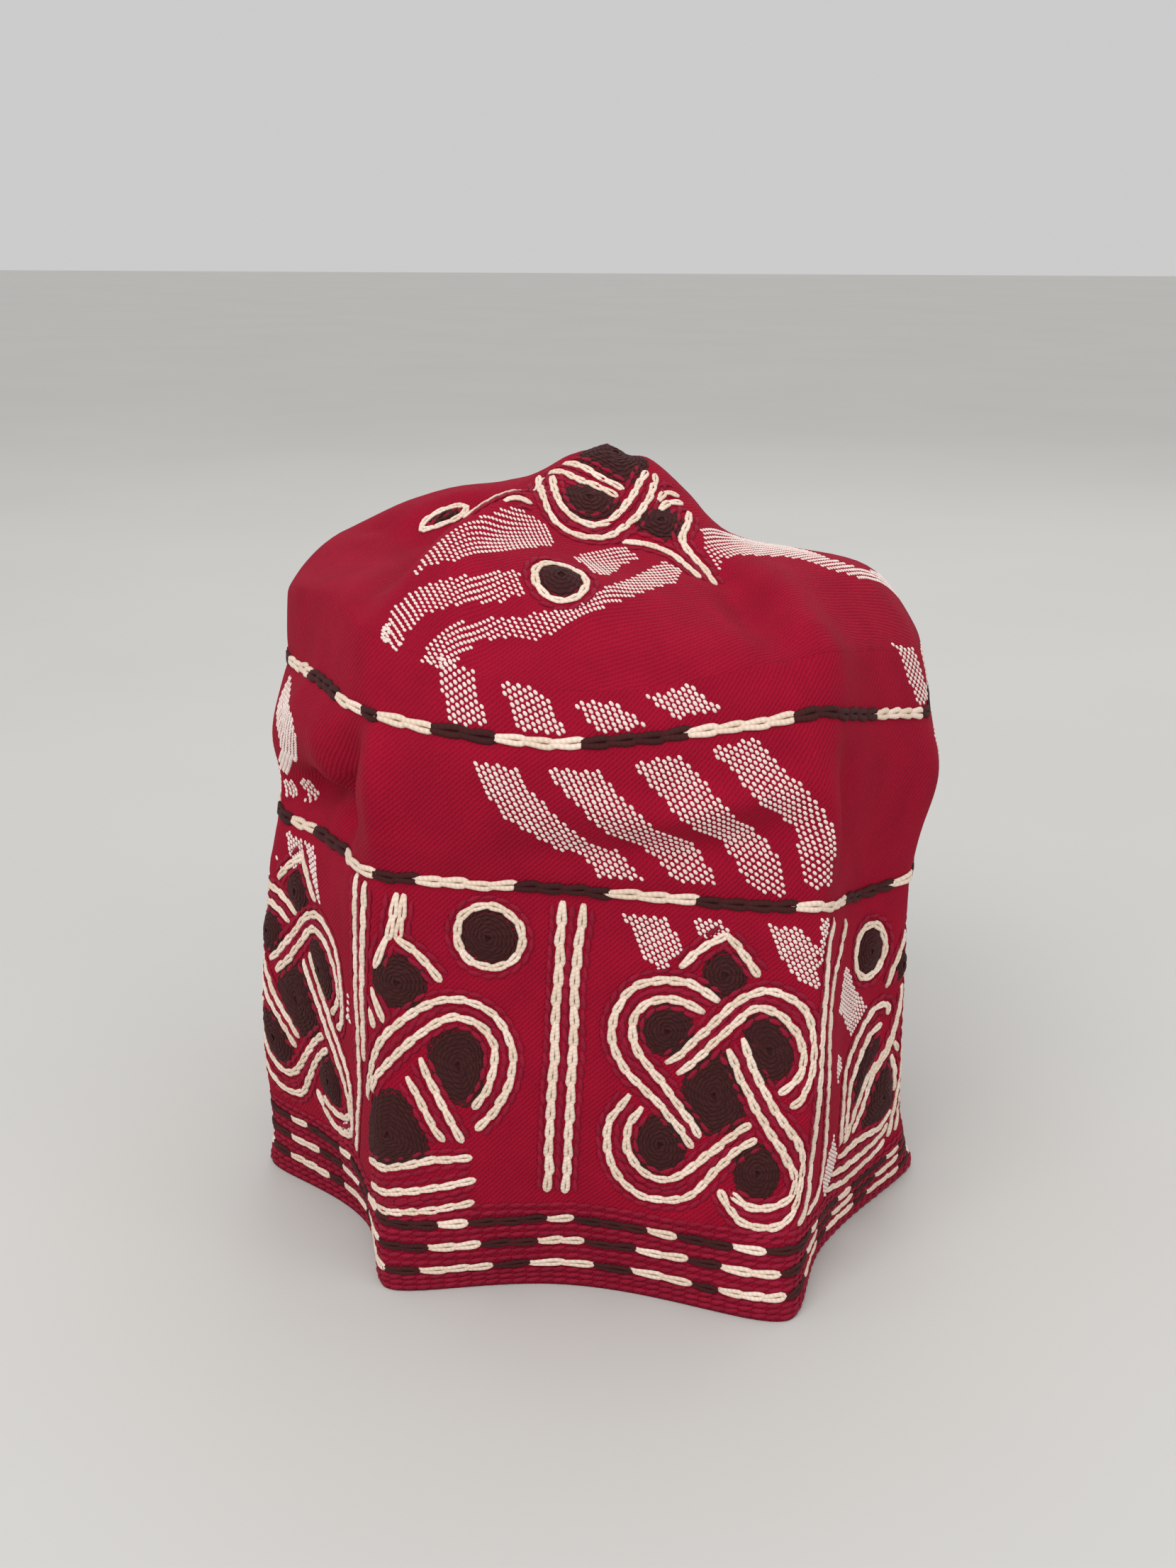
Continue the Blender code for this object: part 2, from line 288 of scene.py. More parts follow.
def smooth(points, step=1.0, closed=False):
    """Points about every step along a smooth curve through the drawn ones."""
    p = np.array(points, float)
    if closed:
        p = np.vstack((p[-1:], p, p[:2]))
    else:
        p = np.vstack((2 * p[0] - p[1], p, 2 * p[-1] - p[-2]))
    run = []
    for a, b, c, d in zip(p, p[1:], p[2:], p[3:]):
        t = np.linspace(0, 1, max(2, int(np.linalg.norm(c - b) / step)), endpoint=False)[:, None]
        run.append(0.5 * (2 * b + (c - a) * t + (2 * a - 5 * b + 4 * c - d) * t ** 2
                          + (3 * b - a - 3 * c + d) * t ** 3))
    if not closed:
        run.append(p[-2:-1])
    return np.vstack(run)


def repeated(shapes, places):
    """The same shapes again at each of these places along the cloth."""
    return [np.array(shape, float) + (place, 0.0) for place in places for shape in shapes]


def leaned(shapes):
    """The knot as it lies on flat cloth: its right side hangs on the standing cap."""
    shapes = [np.array(shape, float) for shape in shapes]
    return [shape + np.array((0.0, LEAN)) * (shape[:, :1] - LEAN_FROM) for shape in shapes]


def oval(u, v, across, up):
    """A drawn disc or ring, as the points of its outline."""
    turn = np.linspace(0, 2 * math.pi, OVAL_POINTS, endpoint=False)
    return np.column_stack((u + across * np.cos(turn), v + up * np.sin(turn)))


def turned(shapes, degrees, middle=PEAK):
    """Plan shapes turned about a middle."""
    turn = math.radians(degrees)
    matrix = np.array(((math.cos(turn), -math.sin(turn)), (math.sin(turn), math.cos(turn))))
    return [(np.array(shape, float) - middle) @ matrix.T + middle for shape in shapes]


KNOT_LINES = leaned((
    [(43.9, 85.6), (40.4, 88.1), (35.7, 90.2), (30.7, 90.7), (25.7, 89.7), (22.1, 87.4), (19.6, 83.4),
     (17.9, 79.1), (17.9, 74.1), (19.6, 69.1), (22.1, 64.9), (25.7, 61.3), (29.3, 57.4), (32.1, 54.1),
     (35, 50.2), (38.2, 44.9)],
    [(40, 82.6), (36.8, 84.5), (32.9, 85.6), (29.3, 85.6), (25.7, 84), (23.6, 81.3), (22.9, 77.4),
     (23.6, 73.1), (25.7, 69.1), (28.2, 65.6), (31.1, 62), (33.6, 58.1), (36.1, 54.5), (38.6, 51.3),
     (40.4, 48.1)],
    [(32.1, 68.8), (35.4, 71.3), (39.3, 75.6), (42.9, 79.1), (46.4, 82.7), (50, 85.8), (54.2, 87.4),
     (58.3, 87.6), (62.5, 85.5), (65.8, 82.8), (67.9, 79.1), (68.8, 74.5), (68.8, 68.7), (67.5, 62.8),
     (65, 58.2), (62.9, 57)],
    [(35, 65.9), (38.6, 69.1), (42.1, 72.7), (45.7, 76.5), (51.7, 82.4), (55.8, 83.3), (60, 81.2),
     (62.9, 77.8), (65, 74.5), (66, 71.2), (65.7, 67), (63.8, 63.7), (60, 60.3)],
    [(47.4, 71.4), (50.3, 64.3), (53.4, 57.6), (56.5, 51.1), (60, 45.3), (62.9, 40.3), (64.3, 36.2),
     (63.8, 32), (60, 29.5), (55.8, 28.7), (51.7, 29.5), (48.3, 32.4)],
    [(50.8, 74.5), (53.4, 67.4), (56.2, 60.7), (59.3, 54.8), (62.5, 49.9), (65, 46.2), (66.7, 41.2),
     (66.5, 36), (65.8, 32), (64.2, 27.8), (60.8, 24.5), (55.8, 23.7), (50.8, 24.9), (47.5, 28.7),
     (45.4, 33.2)],
    [(21.8, 58.4), (19.3, 54.9), (17.1, 50.6), (16.8, 45.6), (17.5, 40.6), (19.3, 36.3), (22.1, 32.7),
     (26.4, 29.9), (31.4, 29.5), (35.7, 30.2), (39.3, 32.7), (42.9, 37), (46, 41), (50, 45.2),
     (53.8, 47.6)],
    [(25, 54.9), (22.5, 51.3), (21.8, 47), (22.1, 43.4), (24.3, 39.1), (27.5, 36.3), (31.4, 35.2),
     (35.7, 37), (39.3, 39.9), (42.9, 43.4), (46.4, 47), (50, 50.1), (52.5, 51.6)],
    [(35.4, 94.5), (38.6, 97.7), (42.1, 100.2), (46.2, 102.6)], [(46.9, 102.2), (50.8, 97.4), (54.6, 92)],
))
KNOT_PATCHES = leaned((
    oval(31.4, 77.2, 6.7, 6.7), oval(54.2, 38.8, 5.6, 7.8), oval(30.2, 45.6, 6.6, 8.5),
    oval(45.8, 92.3, 5.3, 6.0),
    [(51, 78.7), (53, 81), (57, 81.3), (60.4, 78.7), (62.5, 74.5), (62.5, 68.7), (60.8, 64.5), (57.5, 63),
     (54.2, 65.3), (52, 70.3)],
    [(36.3, 64.5), (40, 69), (45, 71.5), (48, 69), (50, 62), (51, 54.5), (48, 50.5), (42.5, 48.5),
     (39, 52), (36, 58)],
))
ARCH_LINES = (
    [(-35.7, 108.8), (-37.5, 98.4)], [(-33.7, 108.8), (-35.1, 98.8)], [(-38.6, 97.7), (-41.8, 90.6)],
    [(-35.4, 98.4), (-30.7, 94.9), (-25.4, 88.4)], [(-43.2, 82.7), (-40.4, 76.6)],
    [(-44.6, 78), (-43.5, 74)],
    [(-50, 52), (-48.6, 56.3), (-46.4, 60.6), (-43.9, 66.3), (-40.7, 71.3), (-35.7, 76.6), (-30.7, 80.6),
     (-26.4, 82.7), (-21.4, 83.4), (-16.4, 82.4), (-12.1, 79.5), (-9.3, 75.6), (-7.5, 71.3), (-7.1, 67),
     (-7.9, 62), (-10, 57), (-12.9, 52.7), (-16.8, 48.8)],
    [(-46.4, 55.6), (-43.6, 60.6), (-40, 64.5), (-35.7, 69.1), (-31.4, 73.4), (-27.1, 76.6),
     (-23.6, 78.3), (-20.4, 78.4), (-16.8, 77.4), (-13.9, 74.5), (-12.1, 71.3), (-11.8, 67.7),
     (-12.5, 63.4), (-14.3, 59.1), (-17.5, 54.5)],
    [(-34.4, 61.1), (-31.1, 54.9), (-28.6, 49.1), (-26.1, 45.2)],
    [(-30.7, 66.3), (-28.6, 60.6), (-25, 53.4), (-21.1, 45.2)],
    [(-50, 34.5), (-40, 36.6), (-28.6, 39.5), (-18.9, 40.4)],
    [(-50, 27.4), (-38.6, 30.2), (-25.7, 32.4), (-18.5, 34.2)],
    [(-50, 22.4), (-38.6, 24.9), (-28.6, 25.9), (-19.2, 27.1)],
)
ARCH_RINGS = (oval(-12.6, 100.4, 8.2, 8.2),)
ARCH_PATCHES = (
    oval(-12.6, 100.4, 6.9, 6.9), oval(-35.8, 87.2, 7.0, 7.0),
    [(-28.6, 69.1), (-27.1, 72.4), (-22.9, 75.2), (-18.6, 75.7), (-15.7, 73.1), (-14.6, 68.4), (-15, 62),
     (-16.4, 57.7), (-19.3, 54.9), (-22.1, 55.9), (-25, 59.1), (-27.5, 63.4)],
    [(-38.2, 58.1), (-35, 54.9), (-32.1, 50.6), (-30.4, 46.3), (-30, 40.6), (-32.9, 38.4), (-40, 37.4),
     (-48.6, 36.6), (-48.9, 43.4), (-47.1, 50.6), (-43.6, 55.6)],
)
RIGHT_ARCH_LINES = (
    [(116, 84), (118, 88), (121, 93), (124, 97)],
    [(97, 42), (95.5, 50), (95.5, 58), (96.5, 64), (100, 69), (104, 73), (109, 77.5), (113, 78.5),
     (117, 77), (117.5, 75)],
    [(100, 42), (99, 50), (99.5, 58), (102, 62), (106, 67), (110, 71), (114, 72)],
    [(100.5, 42), (104, 50), (108, 57), (112, 60), (117, 63.5), (121, 69), (124, 77), (124, 80)],
    [(104, 43), (107, 48), (111, 57), (116, 61), (120, 65), (123, 72), (125, 80)],
    [(120, 60), (122.5, 55), (124.5, 47)], [(121.5, 63.5), (124, 60)],
    [(98, 37.5), (105, 38.5), (113, 38), (119, 37), (123, 39), (124.8, 40)],
    [(95, 32.5), (103, 32.6), (112, 32.4), (120, 33.2), (124.5, 35)],
    [(92, 28.5), (100, 27.8), (108, 27.6), (117, 27.8), (123, 29), (124.5, 29.5)],
)
RIGHT_ARCH_RINGS = (oval(107.5, 96.5, 6.6, 7.6),)
RIGHT_ARCH_PATCHES = (
    oval(107.5, 96.5, 5.2, 6.4), oval(122, 88, 3.2, 4.6),
    [(101, 58), (104, 64), (109, 69.5), (113, 70), (113, 65), (108, 60), (104, 53), (102, 50)],
    [(108, 45), (110, 52), (113, 58), (118, 60), (121, 54), (124, 46), (124, 41), (118, 40), (111, 41)],
)
# Upright pairs of lines between two motifs
PAIR = (
    [(5.6, 109.5), (4.4, 90), (3.4, 70), (2.1, 50), (1.1, 30.5)],
    [(10.7, 109.2), (8.6, 90), (8.1, 70), (6.9, 50), (5.9, 30)],
)
LEFT_PAIR = (
    [(-51, 111), (-51.5, 100), (-52.5, 90), (-54, 80), (-55, 70), (-56.5, 62), (-59, 50), (-62, 42),
     (-66, 33), (-69, 28)],
    [(-46.5, 110), (-47, 100), (-48.5, 90), (-50, 80), (-51, 70), (-52, 62)],
)
RIGHT_PAIR = (
    [(80, 109), (76.5, 105), (74.6, 98), (73, 90), (71.5, 82), (70.6, 72), (70.1, 60), (70.3, 50),
     (69.6, 42), (69, 35), (67, 30), (65, 28)],
    [(93.5, 107), (91, 103), (86, 98), (80, 94), (77, 87), (76, 78), (76, 70), (77, 60), (80, 50),
     (81, 42), (80, 35), (77, 31), (70, 29)],
)
KNOT_PLACES = (-1.3, -135.3, 119.7, 247.7, 375.7)
ARCH_PLACES = (-1.3, 248.7, 376.7)
PAIR_PLACES = (-1.3, 125.7, 187.9, 248.7, 315.9, 376.7, 446.7)
knot_lines = repeated(KNOT_LINES, KNOT_PLACES)
arch_lines = repeated(ARCH_LINES, ARCH_PLACES) + list(RIGHT_ARCH_LINES)
arch_rings = repeated(ARCH_RINGS, ARCH_PLACES) + list(RIGHT_ARCH_RINGS)
pair_lines = repeated(PAIR, PAIR_PLACES) + list(LEFT_PAIR + RIGHT_PAIR)
wall_patches = repeated(KNOT_PATCHES, KNOT_PLACES) + repeated(ARCH_PATCHES, ARCH_PLACES)
wall_patches += RIGHT_ARCH_PATCHES

# The crown's motif, in plan: a knot of four loops round the peak, with rings below it
CROWN_LINES = (
    [(-15.3, -5), (-13.5, -13), (-11.5, -21.9), (-9, -28), (-6.6, -31.2), (-3.4, -32.8), (0.2, -32.1),
     (3.7, -30.8), (7.5, -28.4), (10.7, -24.5), (13.4, -20.6), (15.4, -15.9), (16.6, -8.4), (16.4, -4.6)],
    [(-10.5, -11), (-9.3, -15.9), (-6.9, -23.2), (-3.9, -26.5), (-0.6, -27.4), (3.1, -27), (6.5, -24.9),
     (9.2, -21.5), (11.3, -17.4), (12.9, -11.8), (14.1, -5.8)],
    [(-11.4, -8.2), (-7.8, -10.1), (-2.2, -14.2), (3.6, -16.6), (7.6, -17.9)],
    [(-7.7, -6.3), (-3.5, -9), (0.9, -12.5), (5, -14.4), (8.8, -15.4)],
    [(26.1, -10.1), (26.3, -16.4), (25.5, -21), (27.2, -24.7), (29.7, -27.4), (32.1, -30.4),
     (35.6, -36.5)],
    [(11.8, -28.4), (15.9, -27), (20.1, -27.1), (24.5, -28.5), (28.1, -32.4), (31.8, -37.1)],
    [(18.3, -13.1), (19.9, -8.3), (22.3, -6)], [(19.2, -15.6), (20.9, -12), (23.7, -8.2)],
    [(-13.5, -9), (-15.5, -17), (-17.5, -25.5), (-20.5, -33.5), (-26.5, -46)],
    [(-17.4, -36.5), (-15.5, -33.5), (-13, -31.8)],
)
CROWN_RINGS = (
    oval(0.3, -60.6, 6.3, 7.2),
    [(-46, -13.6), (-45, -11.4), (-42.5, -9.6), (-39.5, -8.5), (-36, -8.2), (-34.4, -9), (-35.6, -11),
     (-38.5, -12.8), (-42, -14), (-45, -14.4)],
)
CROWN_PATCHES = (
    [(-4, -6.2), (-3, 0), (1, 4), (6, 5), (11, 3), (13.8, -1), (13.6, -6.4), (11.1, -12), (8.8, -14.4),
     (4.3, -12.6), (0, -10)],
    [(-6.2, -18.4), (-2, -15.4), (4, -17.6), (8, -18), (9, -20.5), (6.8, -24), (3, -26), (-0.6, -26.2),
     (-4.2, -24)],
    [(13.6, -23.2), (14.8, -19.3), (17.4, -16.6), (21, -14.2), (24.6, -14.8), (24.6, -19), (23, -22.8),
     (19.8, -24.4), (16.4, -24)],
    oval(0.3, -60.6, 5.2, 6.1),
    [(-44, -13), (-43, -11), (-39.8, -9.5), (-36.4, -9.2), (-35.8, -10), (-38, -12), (-41.3, -13.2)],
)
crown_lines = list(CROWN_LINES) + turned(CROWN_LINES, 180.0)
crown_rings = list(CROWN_RINGS) + turned(CROWN_RINGS, 180.0)
crown_patches = list(CROWN_PATCHES) + turned(CROWN_PATCHES[1:], 180.0)


def crown_lengths():
    """A plan grid over the crown, and its places' cloth lengths from the peak along x and along y."""
    line = np.arange(-PLAN_HALF, PLAN_HALF + PLAN_STEP, PLAN_STEP)
    grid = np.stack(np.meshgrid(line, line, indexing="ij"), axis=-1)
    places = laid(SOLID, grid.reshape(-1, 2), True)[0]
    heights = [SHOULDER if place is None else max(place.z / MM, SHOULDER) for place in places]
    heights = np.reshape(heights, grid.shape[:2])
    lengths = []
    for axis in (0, 1):
        steps = np.hypot(PLAN_STEP, np.diff(heights, axis=axis))
        run = np.insert(np.cumsum(steps, axis=axis), 0, 0.0, axis=axis)
        lengths.append(run - np.take(run, [len(line) // 2], axis=axis))
    return line, lengths


CROWN_GRID, CROWN_LENGTHS = crown_lengths()


def cloth_of_plan(plan):
    """The cloth lengths at plan places on the crown."""
    cell = np.clip((plan - CROWN_GRID[0]) / PLAN_STEP, 0, len(CROWN_GRID) - 1.001)
    i, j = cell.astype(int).T
    a, b = (cell - cell.astype(int)).T
    return np.column_stack([(t[i, j] * (1 - a) + t[i + 1, j] * a) * (1 - b)
                            + (t[i, j + 1] * (1 - a) + t[i + 1, j + 1] * a) * b for t in CROWN_LENGTHS])


def plan_of_cloth(cloth):
    """The plan places of points that are given in cloth lengths on the crown, found step by step."""
    plan = cloth.copy()
    for _ in range(PLAN_TRIES):
        plan += PLAN_PACE * (cloth - cloth_of_plan(plan))
    return plan


stitched = []
for shapes, in_plan in (
    (knot_lines + arch_lines + arch_rings + pair_lines, False),
    (crown_lines + crown_rings, True),
):
    for shape in shapes:
        stitched += [place for place in laid(SOLID, smooth(shape, 2.0), in_plan)[0] if place is not None]
STITCHED = nearest_of(stitched)

# The ground cloth: side wall, crown panel and hem
# One red wool twill, cut as a wall strip and a crown panel, and turned up once at the hem.
# The panels are seamed at the shoulder. Embroidery draws the cloth in beside its stitches,
# so it puffs between them.
TWILL_RIB = 0.00098     # one diagonal rib of the twill
TWILL_SLANT = math.radians(46)
THREAD = 0.00085        # from one step of a rib to the next
WAVE = 0.314            # from one band to the next in a wave texture of scale 1
RIM_ANGLE, SHARP_ANGLE = math.radians(55), math.radians(50)
SEAM_REACH = 0.0011     # vertices of two rims that lie as near as this are sewn together
SEAM_SHARE = 0.56       # how far each goes towards the other, so that the rims just overlap
DOME_FOOT = 0.150       # from this height up, the way out of the cap leans upwards
EDGE_ON = 0.2           # a normal that agrees less with the way out lies on a rim
FIRM_HEM = 0.012        # folds fade out below this height
# Soft waves of the cloth: how high, in mm, how close together, and where in the noise
WAVES = ((0.9, 26.0, Vector()), (0.55, 60.0, Vector((3.0, 1.0, 7.0))))
# At a stitch and beside it: how far the cloth stands out, where, and half the width, in mm
PINCH, PUFF = (-0.30, 0.0, 2.4), (0.42, 6.0, 3.0)
# Folds that stand out (+) or in (-): half the width, then the spine as (x, y, rise) in plan on
# the crown, and as (u, v, rise) on the wall, in mm
CROWN_FOLDS = (
    (5.0,
     ((-11, -8, 0.8), (-13, -16, 2.6), (-15, -25, 4.6), (-18, -33, 5.4), (-24, -46, 3.4),
      (-29, -57, 1.2))),
    (7.0, ((-24, -8, -2.5), (-29, -22, -4.5), (-35, -38, -5.0), (-43, -54, -4.5), (-47, -64, -2.0))),
    (5.5, ((33, -24, -0.5), (37, -32, -1.8), (42, -45, -3.2), (47, -57, -3.2), (54, -66, -1.5))),
    (7.0, ((44, -26, 0.5), (53, -42, 2.6), (61, -55, 2.6), (68, -62, 1.0))),
    (4.0, ((-72, 2, 0.0), (-58, -10, -2.2), (-46, -20, -1.6))),
    (3.0, ((6, 12, -0.6), (8.5, 4, -1.7), (9, -5, -0.8))), (3.0, ((1, 5, 0.8), (3, -1, 1.0))),
    (7.0, ((20, 30, -0.5), (34, 48, -3.0), (44, 62, -2.0))),
    (7.0, ((-22, 34, 0.5), (-30, 50, 2.6), (-36, 64, 1.5))),
)
WALL_FOLDS = (
    (5.5, ((-49, 150, -2.0), (-56, 142, -5.5), (-60, 132, -7.5), (-64, 122, -5.0), (-62, 116, -1.0))),
    (4.5, ((-44, 152, 1.0), (-41, 144, 3.2), (-40, 133, 3.8), (-41, 125, 2.6), (-44, 116, 0.5))),
    (11.0, ((-100, 144, 2.5), (-86, 147, 5.0), (-72, 145, 4.0))),
    (4.0, ((-106, 121, -2.5), (-94, 122, -4.5), (-76, 128, -4.0))),
    (4.5, ((0, 134, 0.0), (14, 136, 1.8), (28, 134, 2.8), (46, 138, 2.8), (60, 140, 1.6))),
    (4.5,
     ((-24, 121, 0.0), (2, 124, -1.2), (20, 124, -2.4), (32, 124, -2.6), (48, 128, -2.4),
      (64, 131, -1.0))),
    (5.0, ((64, 148, 0.5), (68, 138, 3.0), (71, 128, 2.6), (72, 119, 0.8))),
    (6.5, ((80, 150, -1.0), (84, 138, -3.4), (86, 124, -1.6))),
    (9.0, ((150, 146, 0.5), (160, 134, 3.0), (172, 124, 0.5))),
    (8.0, ((205, 148, -0.5), (214, 134, -2.6), (220, 122, -0.5))),
    (9.0, ((262, 146, 0.5), (268, 134, 2.6), (262, 122, 0.5))),
    (8.0, ((318, 148, -0.5), (326, 134, -2.6), (338, 122, -0.5))),
    (9.0, ((392, 146, 0.5), (400, 134, 2.8), (412, 122, 0.5))),
)
folds = []
for table, in_plan in ((CROWN_FOLDS, True), (WALL_FOLDS, False)):
    for width, spine in table:
        spine = np.array(spine)
        folds.append((width, np.array(laid(SOLID, spine[:, :2], in_plan)[0]) / MM, spine[:, 2]))


def paint_shade_and_finish_textile(tree, shader, relief, colour, painted_shade_range, bump, surface):
    """Paints shade into a textile's hollows and light onto its ridges; gives it its relief and surface
    values.
    """
    # Painted shade and light: the relief scales the colour down in the hollows and up on the ridges
    painted_shade = output(tree, "ShaderNodeMapRange", {"Value": relief, **painted_shade_range})
    tree.links.new(vectors(tree, "SCALE", colour, painted_shade), shader.inputs["Base Color"])
    tree.links.new(output(tree, "ShaderNodeBump", {"Height": relief, **bump}), shader.inputs["Normal"])
    for label, value in surface.items():
        shader.inputs[label].default_value = value


def cloth_material(name, deep, bright):
    """Red wool twill: matt, with fine diagonal ribs and a soft nap that lightens it in places."""
    material, tree, shader = finish_material(name)
    weave = output(tree, "ShaderNodeUVMap", uv_map="Weave")
    nap = output(tree, "ShaderNodeTexNoise", {"Vector": weave, "Scale": 90.0, "Detail": 5.0})
    fuzz = output(tree, "ShaderNodeTexNoise", {"Vector": weave, "Scale": 1400.0, "Detail": 3.0})
    slant = output(tree, "ShaderNodeMapping", {"Vector": weave, "Rotation": (0.0, 0.0, TWILL_SLANT)})
    ribs = output(tree, "ShaderNodeTexWave", {"Vector": slant, "Scale": WAVE / TWILL_RIB, "Distortion": 2.2,
                                              "Detail": 2.0, "Detail Scale": 2.0}, "Fac")
    threads = {"Vector": weave, "Scale": WAVE / THREAD, "Distortion": 1.0}
    steps = output(tree, "ShaderNodeTexWave", threads, "Fac")
    relief = maths(tree, "MULTIPLY_ADD", steps, 0.35, ribs)
    # The ribs, threads and fuzz also paint shade into the twill's hollows and light onto its ribs
    paint_shade_and_finish_textile(tree, shader, maths(tree, "ADD", relief, fuzz), mixed(tree, nap, deep, bright),
                   {"From Min": 0.4, "From Max": 1.7, "To Min": 0.76, "To Max": 1.10},
                   {"Distance": 0.0002, "Strength": 0.8},
                   {"Roughness": 0.92, "Specular IOR Level": 0.12, "Sheen Weight": 0.03,
                    "Sheen Roughness": 0.4, "Sheen Tint": linear("E05070")})
    return material


def folded(places):
    """How far the folds lift each place, in mm, from the nearest point of each fold's spine."""
    places = places / MM
    lift = np.zeros(len(places))
    for width, spine, rises in folds:
        nearest, rise = np.full(len(places), 1e9), np.zeros(len(places))
        for a, b, low, high in zip(spine, spine[1:], rises, rises[1:]):
            share = np.clip((places - a) @ (b - a) / ((b - a) @ (b - a)), 0.0, 1.0)
            away = np.linalg.norm(places - a - share[:, None] * (b - a), axis=1)
            closer = away < nearest
            nearest[closer] = away[closer]
            rise[closer] = (low + (high - low) * share)[closer]
        lift += rise * np.exp(-(nearest / width) ** 2)
    return lift


def drape(place):
    """How far a point of the cloth stands out, in mm: soft waves, and a pucker at each stitch."""
    lift = sum(rise * noise(place * fineness + start) for rise, fineness, start in WAVES)
    away = STITCHED.find(place)[2] / MM
    for rise, at, width in (PINCH, PUFF):
        lift += rise * math.exp(-((away - at) / width) ** 2)
    return lift


def weave_map(mesh, in_plan):
    """A UV map in metres of cloth: round and up the wall, or plan lengths on the crown."""
    co = np.zeros(len(mesh.vertices) * 3)
    mesh.vertices.foreach_get("co", co)
    co = co.reshape(-1, 3) / MM
    corner = np.zeros(len(mesh.loops), int)
    mesh.loops.foreach_get("vertex_index", corner)
    if in_plan:
        uv = cloth_of_plan(co[:, :2])[corner]
    else:
        turn = (np.degrees(np.arctan2(co[:, 1], co[:, 0])) + 270.0) % 360.0 - 270.0
        u = np.interp(turn, TURNS, GIRTHS)
        v = co[:, 2].copy()
        for _ in range(3):
            v = co[:, 2] - hang(u, v)
        uv = np.column_stack((u[corner], v[corner]))
        # A face across the back has its far corners one girth on
        starts = np.array([p.loop_start for p in mesh.polygons])
        sizes = np.array([p.loop_total for p in mesh.polygons])
        lowest = np.repeat(np.minimum.reduceat(uv[:, 0], starts), sizes)
        uv[:, 0] -= GIRTH * (uv[:, 0] - lowest > GIRTH / 2)
    layer = mesh.uv_layers.new(name="Weave")
    layer.data.foreach_set("uv", (uv * MM).ravel())


def plain(name, source):
    """The source object with its modifiers worked out, as a plain mesh object of that name."""
    mesh = bpy.data.meshes.new_from_object(source.evaluated_get(bpy.context.evaluated_depsgraph_get()))
    mesh.name = name
    bpy.data.objects.remove(source)
    return put(name, mesh)


def cut_cloth(name, node):
    """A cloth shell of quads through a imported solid, rounded but with its rims kept square."""
    work = bmesh.new()
    work.from_mesh(frame["nodes"][node].data)
    bmesh.ops.remove_doubles(work, verts=work.verts, dist=1e-6)
    bmesh.ops.join_triangles(work, faces=work.faces, angle_face_threshold=math.pi,
                             angle_shape_threshold=math.pi)
    crease = work.edges.layers.float.new("crease_edge")
    for edge in work.edges:
        if edge.calc_face_angle(0.0) > RIM_ANGLE:
            edge[crease] = 1.0
    mesh = bpy.data.meshes.new(name + "_cut")
    work.to_mesh(mesh)
    work.free()
    for layer in list(mesh.uv_layers):
        mesh.uv_layers.remove(layer)
    mesh.materials.clear()
    cut = put(name + "_cut", mesh)
    rounding = cut.modifiers.new("rounding", "SUBSURF")
    rounding.levels = rounding.render_levels = 2
    return plain(name, cut)


def out_of(piece):
    """The direction out of the cloth at each vertex, the same on both faces of the shell."""
    sides = []
    for vertex in piece.data.vertices:
        place, normal = vertex.co, vertex.normal
        outward = Vector((place.x, place.y, max(0.0, place.z - DOME_FOOT) * 2.0)).normalized()
        facing = normal.dot(outward)
        sides.append(normal.copy() if facing > EDGE_ON else -normal if facing < -EDGE_ON else outward)
    return sides


def seam(first, second):
    """Brings the rims of two pieces together where they are sewn, and gives them one direction there."""
    trees = [nearest_of([vertex.co for vertex in piece.data.vertices]) for piece in (first, second)]
    changes = []
    for piece, other, tree in ((first, second, trees[1]), (second, first, trees[0])):
        for vertex in piece.data.vertices:
            near, index, away = tree.find(vertex.co)
            if away < SEAM_REACH:
                side = (OUT[piece.name][vertex.index] + OUT[other.name][index]).normalized()
                changes.append((piece, vertex.index, vertex.co.lerp(near, SEAM_SHARE), side))
    for piece, index, place, side in changes:
        piece.data.vertices[index].co = place
        OUT[piece.name][index] = side


def dress(piece, node, material):
    """Folds and puckers a cut piece, gives it its weave, and puts it in its node's place."""
    mesh = piece.data
    lifts = folded(np.array([list(vertex.co) for vertex in mesh.vertices]))
    shaped = []
    for vertex, side, lift in zip(mesh.vertices, OUT[piece.name], lifts):
        place = vertex.co
        shaped.append(list(place + side * (lift + drape(place)) * MM * min(1.0, place.z / FIRM_HEM)))
    mesh.vertices.foreach_set("co", np.array(shaped).ravel())
    mesh.update()
    mesh.materials.append(material)
    mesh.shade_smooth()
    mesh.set_sharp_from_angle(angle=SHARP_ANGLE)
    weave_map(mesh, node == "crown_panel")
    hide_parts(node)
    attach(piece, "root")


wool_twill = cloth_material("crimson_wool_twill", "860725", "A10E2C")
hem_twill = cloth_material("crimson_turned_twill", "7C0723", "960D2B")
wall = cut_cloth("side_wall_cloth", "side_wall")
crown = cut_cloth("crown_cloth", "crown_panel")
hem = cut_cloth("hem_cloth", "hem_border")
OUT = {piece.name: out_of(piece) for piece in (wall, crown, hem)}
seam(wall, crown)
seam(wall, hem)
dress(wall, "side_wall", wool_twill)
dress(crown, "crown_panel", wool_twill)
dress(hem, "hem_border", hem_twill)
SKIN = skin_of((wall, crown, hem))

# Yarn
# Each thread is a soft spun yarn. A stitch is modelled once, lying along +X, and keeps its own
# coordinates. Geometry Nodes lay it again and again along a route, and bend it to the cloth.
SWAY = 0.07             # how far a stitch leans to a side, as a share of its length
MODELS = []             # the modelled stitches, which are removed at the end


